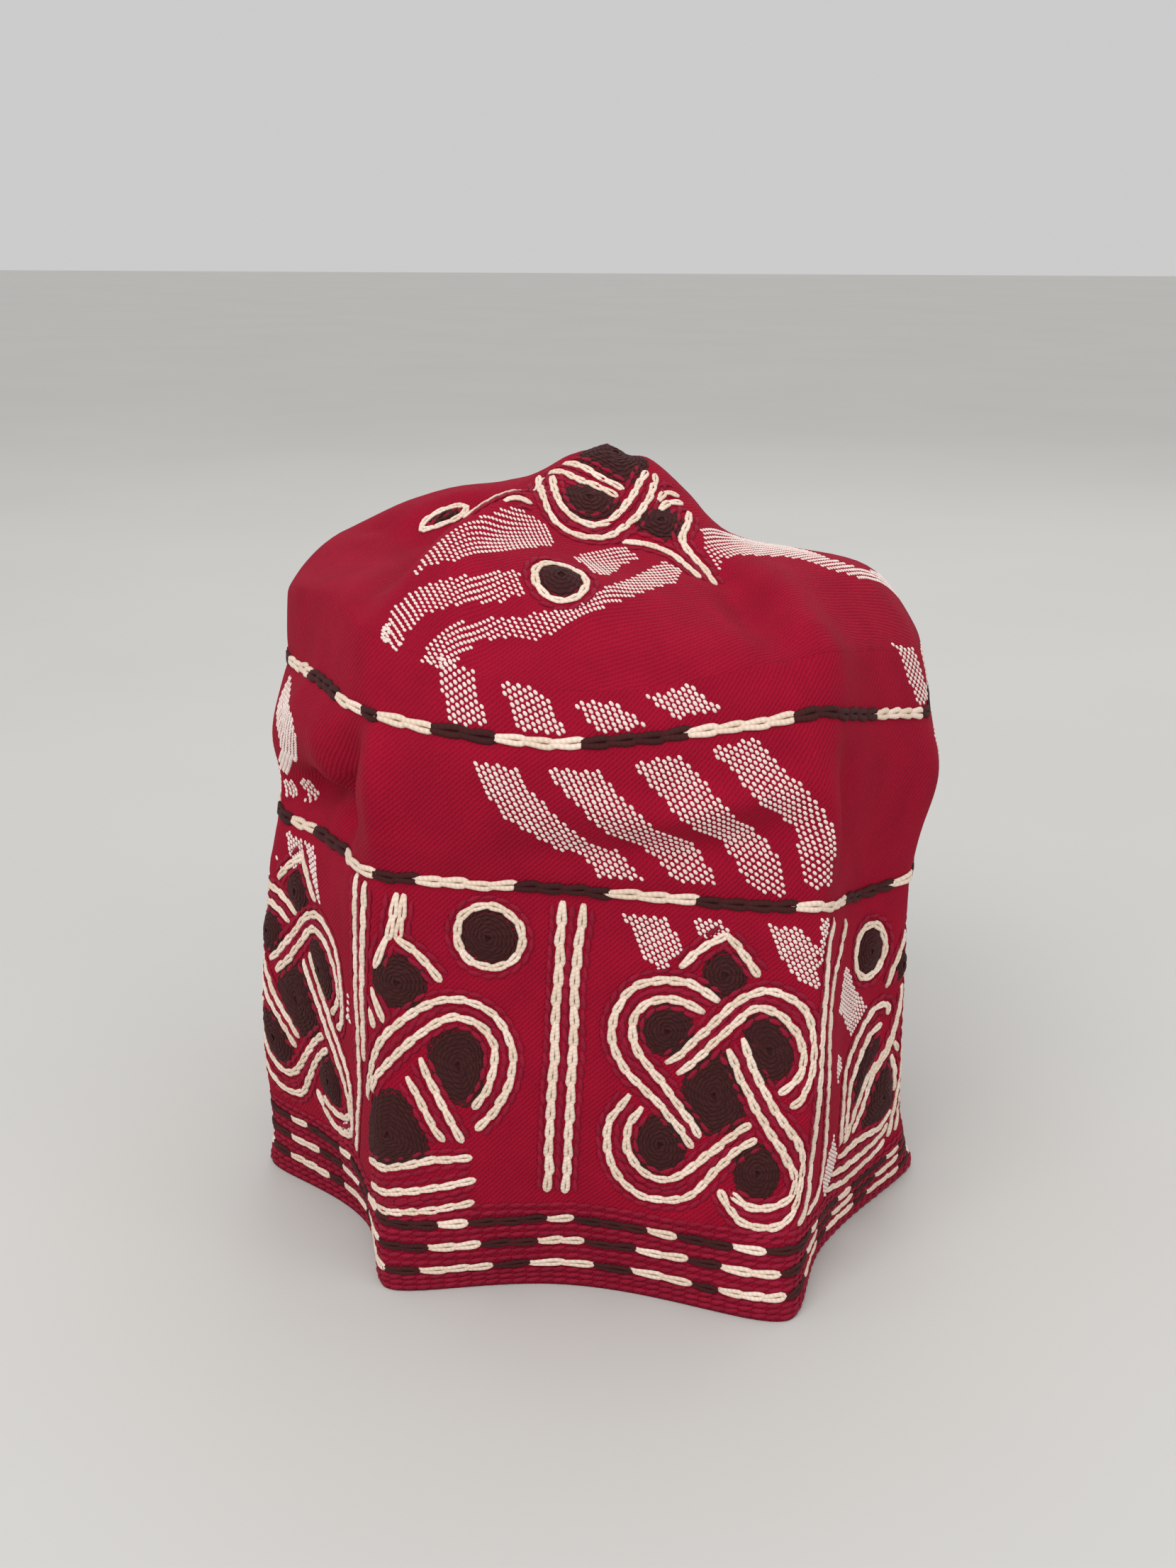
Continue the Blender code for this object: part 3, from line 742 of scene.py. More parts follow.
def yarn_material(name, deep, bright, sheen, ply=0.0011):
    """Soft spun yarn: matt, with the slanted lines of its twisted plies and a slight halo."""
    material, tree, shader = finish_material(name)
    strand = output(tree, "ShaderNodeUVMap", uv_map="Strand")
    tone = output(tree, "ShaderNodeAttribute", label="Fac", attribute_name="stitch_tone")
    slant = vectors(tree, "DOT_PRODUCT", strand, (2 * math.pi / ply, 2 * math.pi, 0.0))
    place = output(tree, "ShaderNodeTexCoord", label="Object")
    fibres = output(tree, "ShaderNodeTexNoise", {"Vector": place, "Scale": 2600.0, "Detail": 3.0})
    relief = maths(tree, "MULTIPLY_ADD", maths(tree, "SINE", slant), 0.45, fibres)
    # The plies' relief also paints shade into the yarn's grooves and light onto its crests
    paint_shade_and_finish_textile(tree, shader, relief, mixed(tree, tone, deep, bright),
                   {"From Min": 0.0, "From Max": 1.0, "To Min": 0.86, "To Max": 1.04},
                   {"Distance": 0.0001, "Strength": 0.6},
                   {"Roughness": 0.85, "Specular IOR Level": 0.25, "Sheen Weight": 0.08,
                    "Sheen Roughness": 0.5, "Sheen Tint": linear(sheen)})
    return material


YARNS = {
    "cream_thread": yarn_material("cream_wool_yarn", "E1CAB5", "F0DBCA", "FFFFFF"),
    "dark_thread": yarn_material("dark_brown_wool_yarn", "391315", "401817", "6A4A48"),
    "red_thread": yarn_material("crimson_wool_yarn", "840828", "940C2E", "E05070"),
    "pale_float": yarn_material("pale_pink_cotton_weft", "E4D0C9", "F0E1DA", "FFFFFF", ply=0.0005),
}


def tube_faces(rings, size, start=0, looped=False):
    """Faces between neighbouring rings of vertices, and from the last to the first if looped."""
    faces = []
    for k in range(rings if looped else rings - 1):
        here, there = start + k * size, start + (k + 1) % rings * size
        faces += [(here + s, here + (s + 1) % size, there + (s + 1) % size, there + s) for s in range(size)]
    return faces


def stitch_object(name, length, places, faces, strand):
    """A modelled stitch. Strand is where each corner of its faces lies, along and round its yarn."""
    mesh = bpy.data.meshes.new(name)
    mesh.from_pydata(places, [], faces)
    mesh.uv_layers.new(name="Strand").data.foreach_set("uv", np.ravel(strand))
    mesh.shade_smooth()
    layer = mesh.attributes.new("lay_local", "FLOAT_VECTOR", "POINT")
    layer.data.foreach_set("vector", [c for vertex in mesh.vertices for c in vertex.co])
    model = put(name, mesh)
    model["length"] = length
    MODELS.append(model)
    return model


def stored(tree, label, kind="FLOAT"):
    """What the points keep under that name."""
    return output(tree, "GeometryNodeInputNamedAttribute", {"Name": label}, data_type=kind)


def stored_on(tree, geometry, label, value, kind="FLOAT", domain="POINT"):
    """The geometry with a value kept under that name."""
    inputs = {"Geometry": geometry, "Name": label, "Value": value}
    return output(tree, "GeometryNodeStoreNamedAttribute", inputs, data_type=kind, domain=domain)


def chance(tree, low, high, seed):
    """A random value for each stitch, the same in each run."""
    return output(tree, "FunctionNodeRandomValue", {2: low, 3: high, "Seed": seed}, 1, data_type="FLOAT")


def new_tree(name, *inputs):
    """A tree with named inputs and one output, its input sockets, and the two ends of its unevenness."""
    tree = bpy.data.node_groups.new(name, "GeometryNodeTree")
    tree.is_modifier = True
    for label, kind in (*inputs, ("Stitch", "Object"), ("Unevenness", "Float"), ("Yarn", "Material")):
        tree.interface.new_socket(label, in_out="INPUT", socket_type="NodeSocket" + kind)
    tree.interface.new_socket("Stitches", in_out="OUTPUT", socket_type="NodeSocketGeometry")
    given = add(tree, "NodeGroupInput").outputs
    return tree, given, [maths(tree, way, 1.0, given["Unevenness"]) for way in ("SUBTRACT", "ADD")]


def copies(tree, stitch, inputs):
    """A copy of the modelled stitch on each point."""
    model = output(tree, "GeometryNodeObjectInfo", {"Object": stitch, "As Instance": True}, "Geometry")
    return output(tree, "GeometryNodeInstanceOnPoints", {"Instance": model, **inputs})


def finish_tree(tree, geometry, yarn):
    """Gives the stitches their yarn, and ends the tree."""
    dyed = output(tree, "GeometryNodeSetMaterial", {"Geometry": geometry, "Material": yarn})
    add(tree, "NodeGroupOutput", {"Stitches": dyed})
    return tree


def stitch_tree():
    """Nodes that lay one stitch after another along each route, bent to the route and to the cloth."""
    tree, given, (low, high) = new_tree("lay_stitches", ("Route", "Geometry"), ("Stitch length", "Float"))
    route = output(tree, "GeometryNodeMeshToCurve", {"Mesh": given["Route"]})
    spacing = {"Curve": route, "Length": given["Stitch length"]}
    points = output(tree, "GeometryNodeResampleCurve", spacing, mode="LENGTH")
    spline = add(tree, "GeometryNodeSplineLength").outputs
    gaps = maths(tree, "MAXIMUM", maths(tree, "SUBTRACT", spline["Point Count"], 1.0), 1.0)
    pitch = maths(tree, "DIVIDE", spline["Length"], gaps)
    points = stored_on(tree, points, "lay_route", output(tree, "GeometryNodeCurveOfPoint"), "INT")
    for label, value in (
        ("lay_start", output(tree, "GeometryNodeSplineParameter")),
        ("lay_length", spline["Length"]),
        ("lay_stretch", maths(tree, "DIVIDE", pitch, given["Stitch length"])),
        ("lay_wide", chance(tree, low, high, 3)),
        ("lay_tall", chance(tree, low, high, 5)),
        ("lay_sway", chance(tree, -SWAY, SWAY, 9)),
        ("stitch_tone", chance(tree, 0.0, 1.0, 21)),
    ):
        points = stored_on(tree, points, label, value)
    last = output(tree, "GeometryNodeCurveEndpointSelection", {"Start Size": 0, "End Size": 1})
    not_last = output(tree, "FunctionNodeBooleanMath", {0: last}, operation="NOT")
    stitches = copies(tree, given["Stitch"], {"Points": points, "Selection": not_last})
    stitches = output(tree, "GeometryNodeRealizeInstances", {"Geometry": stitches})

    # Each vertex goes to its own place along the route, or straight on past the route's end
    own = add(tree, "ShaderNodeSeparateXYZ", {"Vector": stored(tree, "lay_local", "FLOAT_VECTOR")}).outputs
    start, length = stored(tree, "lay_start"), stored(tree, "lay_length")
    step = maths(tree, "DIVIDE", maths(tree, "MULTIPLY", own["X"], stored(tree, "lay_stretch")), length)
    held = maths(tree, "ADD", start, step, use_clamp=True)
    over = maths(tree, "SUBTRACT", maths(tree, "ADD", start, step), held)
    over = maths(tree, "MULTIPLY", over, length)
    here = add(tree, "GeometryNodeSampleCurve", {
        "Curves": route, "Value": stored(tree, "cloth_out", "FLOAT_VECTOR"), "Factor": held,
        "Curve Index": stored(tree, "lay_route", "INT")}, mode="FACTOR", data_type="FLOAT_VECTOR").outputs
    out = vectors(tree, "NORMALIZE", here["Value"])
    side = vectors(tree, "NORMALIZE", vectors(tree, "CROSS_PRODUCT", out, here["Tangent"]))
    across = maths(tree, "MULTIPLY", own["Y"], stored(tree, "lay_wide"))
    across = maths(tree, "MULTIPLY_ADD", own["X"], stored(tree, "lay_sway"), across)
    up = maths(tree, "MULTIPLY", own["Z"], stored(tree, "lay_tall"))
    place = here["Position"]
    for way, amount in ((here["Tangent"], over), (side, across), (out, up)):
        place = vectors(tree, "ADD", place, vectors(tree, "SCALE", way, amount))
    bent = output(tree, "GeometryNodeSetPosition", {"Geometry": stitches, "Position": place})
    unused = {"Geometry": bent, "Name": "lay_*"}
    bare = output(tree, "GeometryNodeRemoveAttribute", unused, pattern_mode="WILDCARD")
    return finish_tree(tree, bare, given["Yarn"])


LAY_STITCHES = stitch_tree()


def grown(name, tree, slot, inputs, places, edges, **directions):
    """A piece of stitches that a tree grows on places, each with its directions under their names."""
    mesh = bpy.data.meshes.new(name + "_places")
    mesh.from_pydata(places, edges, [])
    for label, values in directions.items():
        layer = mesh.attributes.new(label, "FLOAT_VECTOR", "POINT")
        layer.data.foreach_set("vector", np.array([list(v) for v in values], np.float32).ravel())
    source = put(name + "_places", mesh)
    modifier = source.modifiers.new("stitches", "NODES")
    modifier.node_group = tree
    inputs = {"Yarn": YARNS[slot], **inputs}
    for item in tree.interface.items_tree:
        if item.name in inputs:
            modifier[item.identifier] = inputs[item.name]
    piece = plain(name, source)
    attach(piece, "root")


def sewn(name, routes, stitch, slot, unevenness=0.07):
    """A piece of stitches along routes, each a list of places and outward directions on the cloth."""
    places, outs, edges = [], [], []
    for route in routes:
        run = [(place, out) for place, out in zip(*route) if place is not None]
        edges += [(len(places) + k, len(places) + k + 1) for k in range(len(run) - 1)]
        places += [place for place, _ in run]
        outs += [out for _, out in run]
    inputs = {"Stitch": stitch, "Stitch length": stitch["length"], "Unevenness": unevenness}
    grown(name, LAY_STITCHES, slot, inputs, places, edges, cloth_out=outs)


# Cream chain stitch
# The motifs' lines, in a thick soft cream yarn. Each stitch is a drop-shaped loop that comes
# up inside the round end of the one before, and holds it down.
CHAIN_LENGTH = 0.0052
RING_LENGTH = 0.0042     # on rings and tight curves, where the stitches are smaller
RING_SCALE = 0.90
CROWN_SCALE = 0.86       # the crown is worked in the finest stitches
CHAIN_HALF = 0.00057     # middle of the loop to the middle of one strand
STRAND = 0.00063         # radius of the yarn
FLAT = 0.64              # a strand's height to its width
SIDES = 6
# One side of the loop: along, across and up, as shares of its length, its half and its radius
LOOP = ((-0.20, 0.25, -0.50), (0.03, 0.55, 0.42), (0.30, 0.85, 0.46), (0.60, 1.20, 0.38),
        (0.85, 1.18, 0.24), (1.00, 0.62, 0.10), (1.05, 0.0, 0.15))


def yarn_loop(name, length, scale=1.0, rise=0.0001):
    """One drop-shaped loop of yarn along +X, lying on the cloth with +Z out of it."""
    half, radius = CHAIN_HALF * scale, STRAND * scale
    path = [Vector((a * length, b * half, c * radius + rise)) for a, b, c in LOOP]
    path += [Vector((p.x, -p.y, p.z)) for p in reversed(path[:-1])]
    places, along = [], [0.0]
    for k, p in enumerate(path):
        ahead = (path[(k + 1) % len(path)] - path[k - 1]).normalized()
        side = ahead.cross(Vector((0, 0, 1))).normalized()
        up = side.cross(ahead)
        if k:
            along.append(along[-1] + (p - path[k - 1]).length)
        for s in range(SIDES):
            turn = 2 * math.pi * s / SIDES
            places.append(p + side * radius * math.cos(turn) + up * radius * FLAT * math.sin(turn))
    strand = []
    for here, there in zip(along, along[1:] + along[:1]):
        for s in range(SIDES):
            low, high = s / SIDES, (s + 1) / SIDES
            strand += [(here, low), (here, high), (there, high), (there, low)]
    return stitch_object(name, length, places, tube_faces(len(path), SIDES, looped=True), strand)


def routes_of(lines, in_plan=False):
    """Routes along drawn lines."""
    return [laid(SKIN, smooth(line), in_plan) for line in lines]


def closed_routes(rings, in_plan=False):
    """Routes round closed outlines, each ending where it starts."""
    runs = [smooth(ring, closed=True) for ring in rings]
    return [laid(SKIN, np.vstack((run, run[:1])), in_plan) for run in runs]


chain_link = yarn_loop("chain_link", CHAIN_LENGTH)
ring_link = yarn_loop("ring_link", RING_LENGTH, RING_SCALE)
crown_link = yarn_loop("crown_link", RING_LENGTH, CROWN_SCALE)
sewn("cream_knots", routes_of(knot_lines), ring_link, "cream_thread")
sewn("cream_arches", routes_of(arch_lines) + closed_routes(arch_rings), ring_link, "cream_thread")
sewn("cream_uprights", routes_of(pair_lines), chain_link, "cream_thread")
crown_routes = routes_of(crown_lines, True) + closed_routes(crown_rings, True)
sewn("cream_crown", crown_routes, crown_link, "cream_thread")

# Braided lines round the wall
# Two heavy lines of the same chain stitch press a groove into the cloth, under the shoulder
# and above the motifs. The embroiderer changes yarn along them, cream and dark in turn.
LINE_LENGTH = 0.0056
LINE_SCALE, DARK_SCALE = 1.18, 1.30
UPPER_LINE, LOWER_LINE = 153.5, 114.1
BACK_RUN = 24.0         # about the length of one yarn's run round the back, mm
UPPER_RUNS = (
    ("cream", -118, -86), ("dark", -86, -62), ("cream", -62, -48), ("dark", -48, -42),
    ("cream", -41, -25.5), ("dark", -25.5, -10), ("cream", -9.5, 9.5), ("dark", 9.5, 34),
    ("cream", 34, 61.5), ("dark", 61.5, 101), ("cream", 101, 123), ("dark", 123, 150),
)
LOWER_RUNS = (
    ("dark", -116, -98.5), ("cream", -98, -84), ("dark", -84, -62), ("cream", -62, -42.5),
    ("dark", -42.5, -31), ("cream", -31, -7), ("dark", -7, 16), ("cream", 16, 37.5), ("dark", 37.5, 63),
    ("cream", 63.5, 91), ("dark", 91, 117), ("cream", 117, 127),
)


def level(u, height):
    """A route at one height of the flat cloth."""
    return laid(SKIN, np.column_stack((u, np.full(len(u), height))))


def level_run(start, end, height):
    """A route at one height, from one place round the cap to another."""
    return level(np.linspace(start, end, max(3, int(end - start))), height)


def line_runs(runs, height):
    """Each yarn's routes along a line, with even runs round the back of the cap."""
    runs = list(runs)
    colour, at, stop = runs[-1][0], runs[-1][2], runs[0][1] + GIRTH
    count = round((stop - at) / BACK_RUN) // 2 * 2
    for k in range(count):
        colour = "dark" if colour == "cream" else "cream"
        runs.append((colour, at + (stop - at) * k / count, at + (stop - at) * (k + 1) / count))
    return {yarn: [level_run(start, end, height) for colour, start, end in runs if colour == yarn]
            for yarn in ("cream", "dark")}


heavy_link = yarn_loop("heavy_link", LINE_LENGTH, LINE_SCALE, rise=0.0002)
dark_link = yarn_loop("dark_link", LINE_LENGTH, DARK_SCALE)
upper, lower = line_runs(UPPER_RUNS, UPPER_LINE), line_runs(LOWER_RUNS, LOWER_LINE)
sewn("wall_lines_cream", upper["cream"] + lower["cream"], heavy_link, "cream_thread")
sewn("wall_lines_dark", upper["dark"] + lower["dark"], dark_link, "dark_thread")

# Hem rows
# The hem is covered with rows of red stitches, over the cloth that is turned up inside. Three
# of the rows are in dark yarn and change to cream for a few stitches, in steps.
HEM_ROWS = ((21.6, 2.9), (14.5, 5.7), (7.3, 8.3))     # height, and half a run of cream
FRONT_STEPS, BACK_STEPS = [-25.0, 3.0, 30.0, 50.5], 19
RED_ROWS = (1.4, 3.2, 5.0, 9.7, 11.9, 17.0, 19.1, 24.1, 26.2)
HEM_GAP = 1.6            # from the end of one yarn to the start of the next
HEM_SHARE = 0.32         # the most of a step that half a run of cream takes
STEM_LENGTH, FINE_LENGTH = 0.0036, 0.0024
STEM_STATIONS = ((0.10, 0.62), (0.5, 1.0), (0.90, 0.62))      # along a red stitch, and how full it is
STEM_SIDES = 5

round_back = GIRTH + FRONT_STEPS[0] - FRONT_STEPS[-1]
hem_steps = FRONT_STEPS + [FRONT_STEPS[-1] + round_back * k / BACK_STEPS for k in range(1, BACK_STEPS)]
hem_gaps = np.diff(hem_steps + [hem_steps[0] + GIRTH])
hem_room = HEM_SHARE * np.minimum(hem_gaps, np.roll(hem_gaps, 1))
hem_cream, hem_dark = [], []
for height, longest in HEM_ROWS:
    halves = np.minimum(longest, hem_room)
    for here, gap, half, next_half in zip(hem_steps, hem_gaps, halves, np.roll(halves, -1)):
        hem_cream.append(level_run(here - half, here + half, height))
        hem_dark.append(level_run(here + half + HEM_GAP, here + gap - next_half - HEM_GAP, height))
sewn("hem_rows_cream", hem_cream, chain_link, "cream_thread")
sewn("hem_rows_dark", hem_dark, chain_link, "dark_thread")


def stem_stitch(name, length, half, height):
    """One plump slanted stitch along +X, with pointed ends."""
    places, around = [Vector((-0.12 * length, -0.25 * half, -0.3 * height))], [(0.0, 0.0)]
    for along, full in STEM_STATIONS:
        for s in range(STEM_SIDES):
            turn = 2 * math.pi * s / STEM_SIDES
            across = (along - 0.5) * 0.5 * half + half * full * math.cos(turn)
            places.append(Vector((along * length, across, height * full * (0.45 + 0.75 * math.sin(turn)))))
            around.append((along * length, s / STEM_SIDES))
    tip, last = len(places), len(places) - STEM_SIDES
    places.append(Vector((1.12 * length, 0.25 * half, -0.3 * height)))
    around.append((length, 0.0))
    faces = tube_faces(len(STEM_STATIONS), STEM_SIDES, start=1)
    for s in range(STEM_SIDES):
        following = (s + 1) % STEM_SIDES
        faces += [(0, 1 + following, 1 + s), (last + s, last + following, tip)]
    return stitch_object(name, length, places, faces, [around[i] for face in faces for i in face])


stem = stem_stitch("stem", STEM_LENGTH, 0.00080, 0.00050)
fine_stem = stem_stitch("fine_stem", FINE_LENGTH, 0.00066, 0.00015)
all_round = np.arange(0.0, GIRTH + 1.0, 1.0)
sewn("hem_rows_red", [level(all_round, height) for height in RED_ROWS], stem, "red_thread")

# Dark patches
# Discs and leaf shapes in dark brown yarn fill the motifs. Rows of small stitches go round
# and round from the outline to the middle, over a slight padding.
PATCH_ROW = 0.95        # from one row of stitches to the next, mm
PATCH_RISE = 0.7        # how far the middle stands up, mm
PATCH_DIMPLE = 0.5      # how far the last stitches are drawn in, mm
PATCH_EDGE = 0.3        # how far the edge of the padding goes into the cloth, mm
PATCH_SIDES = 140.0     # the patches right of this place are a piece of their own, mm


def patch_rows(outline, in_plan):
    """The padding under a patch as rings of places, and the routes of its rows of stitches."""
    outline = smooth(outline, 1.2, closed=True)
    middle = outline.mean(axis=0)
    count = max(2, int(np.linalg.norm(outline - middle, axis=1).mean() / PATCH_ROW))
    rings, routes = [], []
    for k in range(count + 1):
        share = 1.0 - k / (count + 0.35)
        places, outs = laid(SKIN, middle + (outline - middle) * share, in_plan)
        if any(place is None for place in places):
            continue
        lift = (PATCH_RISE * (1.0 - share ** 2) - PATCH_DIMPLE * (k == count)) * MM
        raised = [place + out * lift for place, out in zip(places, outs)]
        rings.append(raised if k else [place - out * (PATCH_EDGE * MM) for place, out in zip(places, outs)])
        # The inner rows turn sharply, so they have fewer points
        thinned = slice(None, None, max(1, k // 2))
        ring, ring_outs = raised[thinned], outs[thinned]
        routes.append((ring + ring[:1], ring_outs + ring_outs[:1]))
    return rings, routes


def dark_patches(name, outlines, in_plan=False):
    """A group of patches: a piece of padding, and a piece of stitches over it."""
    places, faces, routes = [], [], []
    for outline in outlines:
        rings, rows = patch_rows(outline, in_plan)
        routes += rows
        start, size = len(places), len(rings[0])
        last = start + (len(rings) - 1) * size
        places += [place for ring in rings for place in ring]
        faces += tube_faces(len(rings), size, start)
        faces += [(last + s, last + (s + 1) % size, len(places)) for s in range(size)]
        places.append(sum(rings[-1], Vector()) / size)
    mesh = bpy.data.meshes.new(name + "_padding")
    mesh.from_pydata(places, [], faces)
    mesh.shade_smooth()
    mesh.materials.append(YARNS["dark_thread"])
    padding = put(name + "_padding", mesh)
    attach(padding, "root")
    sewn(name, routes, fine_stem, "dark_thread", unevenness=0.12)


for side, is_right in (("left", False), ("right", True)):
    patches = [patch for patch in wall_patches if (np.mean(patch, axis=0)[0] >= PATCH_SIDES) == is_right]
    dark_patches("dark_wall_patches_" + side, patches)
dark_patches("dark_crown_patches", crown_patches, True)

# Red outlines
# A row of red stitches runs close along each side of every cream line, over the ground cloth
# and over the woven bands where the motif crosses them.
OUTLINE_AWAY = 2.35     # from the middle of a cream line, mm


def beside(line, away, closed=False):
    """The line's points moved sideways on the cloth."""
    run = smooth(line, closed=closed)
    ahead = np.roll(run, -1, axis=0) - np.roll(run, 1, axis=0) if closed else np.gradient(run, axis=0)
    ahead /= np.linalg.norm(ahead, axis=1, keepdims=True)
    out = run + away * np.column_stack((-ahead[:, 1], ahead[:, 0]))
    return np.vstack((out, out[:1])) if closed else out


for name, lines, rings, in_plan in (
    ("red_outlines_knots", knot_lines, [], False),
    ("red_outlines_arches", arch_lines + pair_lines, arch_rings, False),
    ("red_outlines_crown", crown_lines, crown_rings, True),
):
    shapes = [beside(line, away) for line in lines for away in (-OUTLINE_AWAY, OUTLINE_AWAY)]
    shapes += [beside(ring, -OUTLINE_AWAY, True) for ring in rings]
    sewn(name, [laid(SKIN, shape, in_plan) for shape in shapes], stem, "red_thread")

# Woven bands
# Pale pink floats of the cloth's second weft, in slanted bands that the weaver brings to the
# face. Each float is a short slanted bead, and each row is shifted against the one below.
FLOAT_STEP, FLOAT_ROW = 2.54, 0.70       # along and up, mm
FLOAT_SHIFT = 1.01                       # along again, from one row to the next above, mm
FLOAT_SLANT, CROWN_SLANT = 50.0, 38.0    # degrees down to the right
CROWN_TURN = 9.0                         # how far the crown's rows are turned, degrees
CROWN_REACH = 115.0                      # the crown's rows go as far as this each way, mm
MIDDLE_BANDS = (
    [(-14.6, 147.6), (-5, 146.8), (-1.7, 141.3), (2.1, 136.3), (6.7, 131.3), (12.5, 125.9), (17.9, 124.7),
     (20.4, 121.3), (24.2, 118.2), (13.3, 117.8), (9.6, 122.6), (2.9, 125.1), (-3.3, 129.7),
     (-7.9, 133.4), (-10.8, 138.4), (-13.3, 144.3)],
    [(1.5, 147.2), (13.3, 146.8), (15.4, 143), (20, 137.6), (24.6, 133), (28.3, 130.1), (34.2, 128.4),
     (38.3, 124.3), (42.9, 117.8), (31.7, 118), (28.8, 121.3), (24.2, 125.1), (18.3, 127.6),
     (13.3, 131.3), (9.2, 136.3), (5.8, 140.5), (2.5, 145.1)],
    [(19.6, 147.3), (31.3, 149.3), (35.8, 144.3), (40, 139.3), (45, 133.8), (50.8, 130.5), (55.8, 126.3),
     (58.3, 121.3), (60, 115.5), (50.8, 117.2), (47.5, 121.3), (43.3, 127.2), (35.8, 130.5),
     (30.4, 134.7), (26.7, 139.7), (22.5, 144.7)],
    [(37.9, 149.7), (50.4, 150.9), (54.2, 146.8), (59.2, 142.2), (64.2, 137.6), (67.5, 134.7),
     (69.6, 130.9), (72, 127), (73, 118), (65.8, 117.2), (62.5, 124.7), (61.3, 130.5), (55, 134.7),
     (50, 137.2), (45.8, 142.2), (41.3, 146.8)],
)
LEFT_BANDS = (
    [(-112, 151), (-103, 150), (-84, 146), (-83, 141.5), (-98, 133), (-108, 127), (-114, 128),
     (-103, 138.5), (-108, 143)],
    [(-112, 125), (-106, 124.5), (-104, 119), (-110, 119)],
    [(-104.5, 125), (-100, 126), (-95, 118.4), (-100, 118.4)],
)
SHOULDER_BANDS = (
    [(-27.9, 167.6), (-16.7, 165.9), (-11.3, 155.5), (-21.3, 155.3)],
    [(-10, 165.5), (0.4, 165.1), (6.7, 155.5), (-4.6, 155.7)],
    [(6.7, 163.7), (16.7, 162.6), (23.8, 156.5), (13.3, 155.5)],
    [(23.3, 163), (34.6, 164.7), (42.5, 158.4), (31.3, 157.2)],
)
LOW_BANDS = (
    [(18.3, 109.1), (30.1, 109.1), (34.4, 101.3), (28.3, 94.5), (23.7, 98.4), (21.6, 104.1)],
    [(35.6, 109.3), (43.5, 109.3), (47.4, 105.6), (39.2, 104.1)],
    [(54.5, 109.5), (64, 108.5), (69, 103), (69.5, 92), (63, 95), (58, 102)],
    [(70, 111), (74.5, 111), (72, 103), (69.5, 96)],
    [(85, 83), (88, 88), (92, 95), (95, 94), (107, 80), (98, 74), (91, 82)],
    [(86, 72), (92, 68), (88, 62), (86, 66)],
    [(88, 47), (92, 42), (95, 39), (93, 31), (90, 26), (85, 30), (83, 35)],
    [(-99, 111), (-90, 110), (-88, 103), (-92, 100)],
    [(-88, 110), (-82, 110), (-78, 104), (-76, 96), (-80, 97), (-84, 105)],
    [(-103, 103), (-97, 100), (-96, 97)], [(-64, 68), (-60, 77), (-61, 68)],
    [(-82, 28), (-75, 35), (-74, 29)],
)
CROWN_BANDS = (
    [(-36, -65.5), (-34, -60), (-30, -55.5), (-26, -51.5), (-20.5, -46.5), (-15.5, -37.5), (-10.5, -35.8),
     (-8.8, -35.3), (-6, -38.5), (-4, -41.4), (-8.6, -50.6), (-17, -60), (-24.3, -63.4), (-32.3, -64.2)],
    [(0.4, -46), (2.9, -39.2), (7.3, -33.7), (11.5, -29.7), (14.5, -32.7), (16.7, -33.3), (12.5, -40.5),
     (10.2, -52.8), (6.9, -51.7), (3.7, -47.4)],
    [(-41.4, -76), (-40.8, -73.8), (-38.4, -71), (-34.2, -69.3), (-28.4, -67.9), (-21.5, -67.1),
     (-11.1, -63.9), (-9.4, -63.6), (-7.1, -69.2), (-12.6, -71.7), (-20.3, -73.1), (-27.1, -74),
     (-31.8, -75.5), (-34.6, -76.7), (-36.2, -78.8)],
    [(-30.1, -81.4), (-28.9, -79.8), (-26.2, -78.3), (-21.6, -76.4), (-14, -74.9), (-6.3, -73.7),
     (1, -70.4), (6.3, -67), (8.7, -62.8), (12.7, -56.7), (17.2, -44.8), (22, -33.5), (24.2, -34.6),
     (28, -35.9), (26.6, -45.7), (22.3, -52.4), (17.3, -60.3), (12.2, -66.3), (7, -71.3), (3.7, -74.5),
     (-0.8, -77), (-4.5, -78.2), (-11.4, -78.3), (-16, -79.7), (-19.7, -81.2), (-22.2, -83.4),
     (-25.3, -82.9)],
    [(32, -24.5), (36.3, -30.6), (37, -27), (43, -24.1), (53.2, -19), (63.9, -21.3), (71.3, -18.1),
     (78.5, -7.7), (82, 0), (77, 2), (74, -6), (70, -12), (64, -12), (58, -6), (50, 2), (42, 2),
     (36.5, -6), (30, -15.4)],
)
STRIPE_PLACES = (0.0, 142.0, 284.0, -187.0)      # the groups of slanted bands round the wall
# Half the section of a float: across and up, and along it: where, and how full
BEAD_ARCH = ((-1.0, -0.2), (-0.72, 0.65), (0.0, 1.0), (0.72, 0.65), (1.0, -0.2))
BEAD_STATIONS = ((-0.36, 0.74), (0.0, 1.06), (0.36, 0.74))


def bead(name, length, half, height):
    """One float of the weft: a low bead along +X, centred on its point."""
    places = [Vector((-length / 2, 0, -height * 0.3))]
    for along, full in BEAD_STATIONS:
        places += [Vector((along * length, across * half * full, up * height * full))
                   for across, up in BEAD_ARCH]
    places.append(Vector((length / 2, 0, -height * 0.3)))
    count, last = len(BEAD_ARCH), len(places) - 1
    faces = []
    for s in range(count - 1):
        faces += [(0, s + 1, s + 2), (last, last - count + s + 1, last - count + s)]
        for start in range(1, last - count, count):
            faces.append((start + s, start + count + s, start + count + s + 1, start + s + 1))
    strand = [(places[i].x, 0.5 + places[i].y / half / 4) for face in faces for i in face]
    return stitch_object(name, length, places, faces, strand)


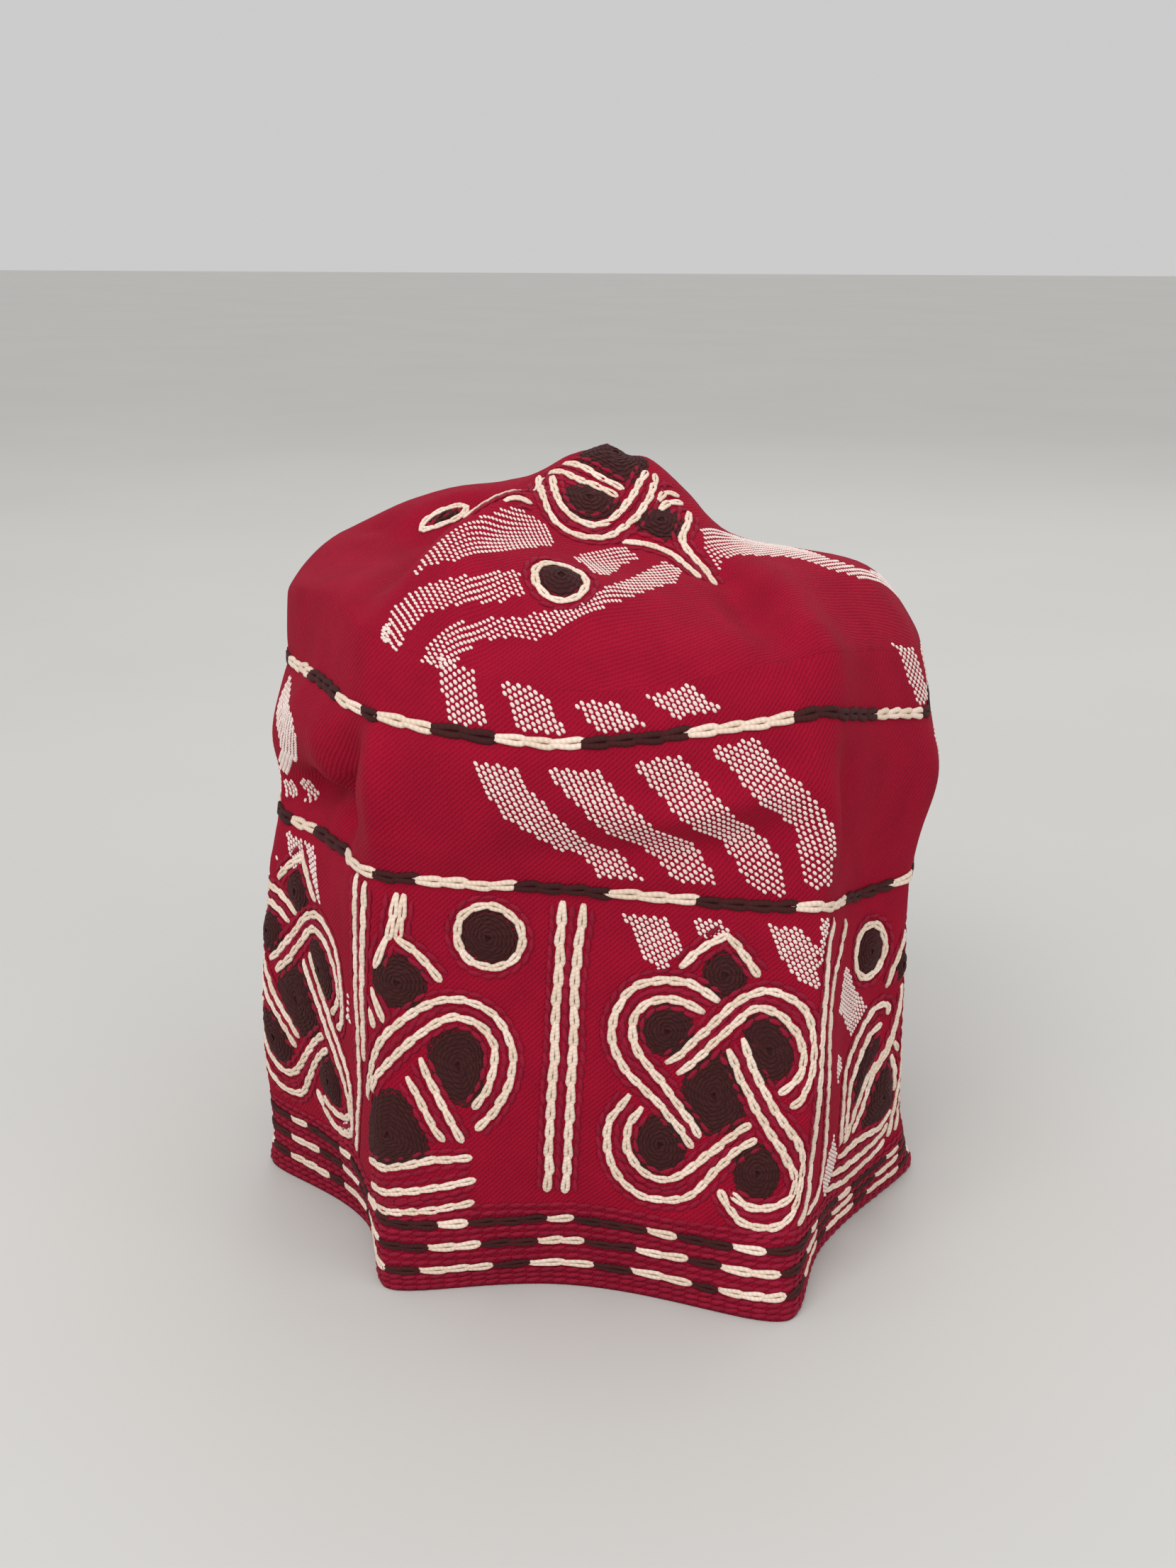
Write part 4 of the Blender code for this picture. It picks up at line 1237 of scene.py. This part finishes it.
def float_tree():
    """Nodes that put one float on each point, turned to the cloth."""
    tree, given, (low, high) = new_tree("weave_floats", ("Points", "Geometry"))
    along = {"Vector": stored(tree, "cloth_along", "FLOAT_VECTOR")}
    turn = output(tree, "FunctionNodeAlignRotationToVector", along, axis="X")
    out = {"Rotation": turn, "Vector": stored(tree, "cloth_out", "FLOAT_VECTOR")}
    turn = output(tree, "FunctionNodeAlignRotationToVector", out, axis="Z", pivot_axis="X")
    size = chance(tree, low, high, 4)
    floats = copies(tree, given["Stitch"], {"Points": given["Points"], "Rotation": turn, "Scale": size})
    floats = stored_on(tree, floats, "stitch_tone", chance(tree, 0.0, 1.0, 8), domain="INSTANCE")
    floats = output(tree, "GeometryNodeRealizeInstances", {"Geometry": floats})
    return finish_tree(tree, floats, given["Yarn"])


def inside(points, outline):
    """Which points lie in a drawn shape."""
    hit = np.zeros(len(points), bool)
    x, y = points.T
    for (ax, ay), (bx, by) in zip(outline, np.roll(outline, -1, axis=0)):
        crosses = (ay > y) != (by > y)
        hit ^= crosses & (x < (bx - ax) * (y - ay) / (by - ay + 1e-12) + ax)
    return hit


def float_grid(low, high):
    """The places of all floats between two corners, on one grid for the whole cloth."""
    rows = np.arange(math.ceil(low[1] / FLOAT_ROW), math.floor(high[1] / FLOAT_ROW) + 1)
    columns = np.arange(math.floor(low[0] / FLOAT_STEP) - 1, math.ceil(high[0] / FLOAT_STEP) + 1)
    column, row = np.meshgrid(columns, rows)
    shift = (row * FLOAT_SHIFT) % FLOAT_STEP
    return np.column_stack(((column * FLOAT_STEP + shift).ravel(), (row * FLOAT_ROW).ravel()))


def woven(name, bands, in_plan=False):
    """A piece of floats over the drawn bands."""
    bands = [np.array(band, float) for band in bands]
    if in_plan:
        grid = float_grid((-CROWN_REACH, -CROWN_REACH), (CROWN_REACH, CROWN_REACH))
        grid = plan_of_cloth(turned([grid], CROWN_TURN, (0.0, 0.0))[0])
    else:
        grid = float_grid(np.vstack(bands).min(axis=0), np.vstack(bands).max(axis=0))
    chosen = np.logical_or.reduce([inside(grid, band) for band in bands])
    found = [(place, out) for place, out in zip(*laid(SKIN, grid[chosen], in_plan)) if place is not None]
    turn = math.radians(CROWN_SLANT if in_plan else FLOAT_SLANT)
    alongs = []
    for _, out in found:
        across = Vector((1, 0, 0)) if in_plan else Vector((0, 0, 1)).cross(out)
        across = (across - out * across.dot(out)).normalized()
        alongs.append(across * math.cos(turn) - out.cross(across) * math.sin(turn))
    inputs = {"Stitch": crown_bead if in_plan else float_bead, "Unevenness": 0.06}
    grown(name, WEAVE_FLOATS, "pale_float", inputs, [place for place, _ in found], [],
          cloth_out=[out for _, out in found], cloth_along=alongs)


WEAVE_FLOATS = float_tree()
float_bead = bead("float_bead", 0.00152, 0.00045, 0.00034)
crown_bead = bead("crown_bead", 0.00132, 0.00037, 0.00026)
woven("woven_middle_bands", repeated(MIDDLE_BANDS, STRIPE_PLACES) + list(LEFT_BANDS))
woven("woven_shoulder_bands", repeated(SHOULDER_BANDS, STRIPE_PLACES))
woven("woven_low_bands", list(LOW_BANDS) + repeated(LOW_BANDS[:4], STRIPE_PLACES[1:3]))
woven("woven_crown_bands", list(CROWN_BANDS) + turned(CROWN_BANDS[:4], 180.0), True)

for model in MODELS:
    bpy.data.objects.remove(model)
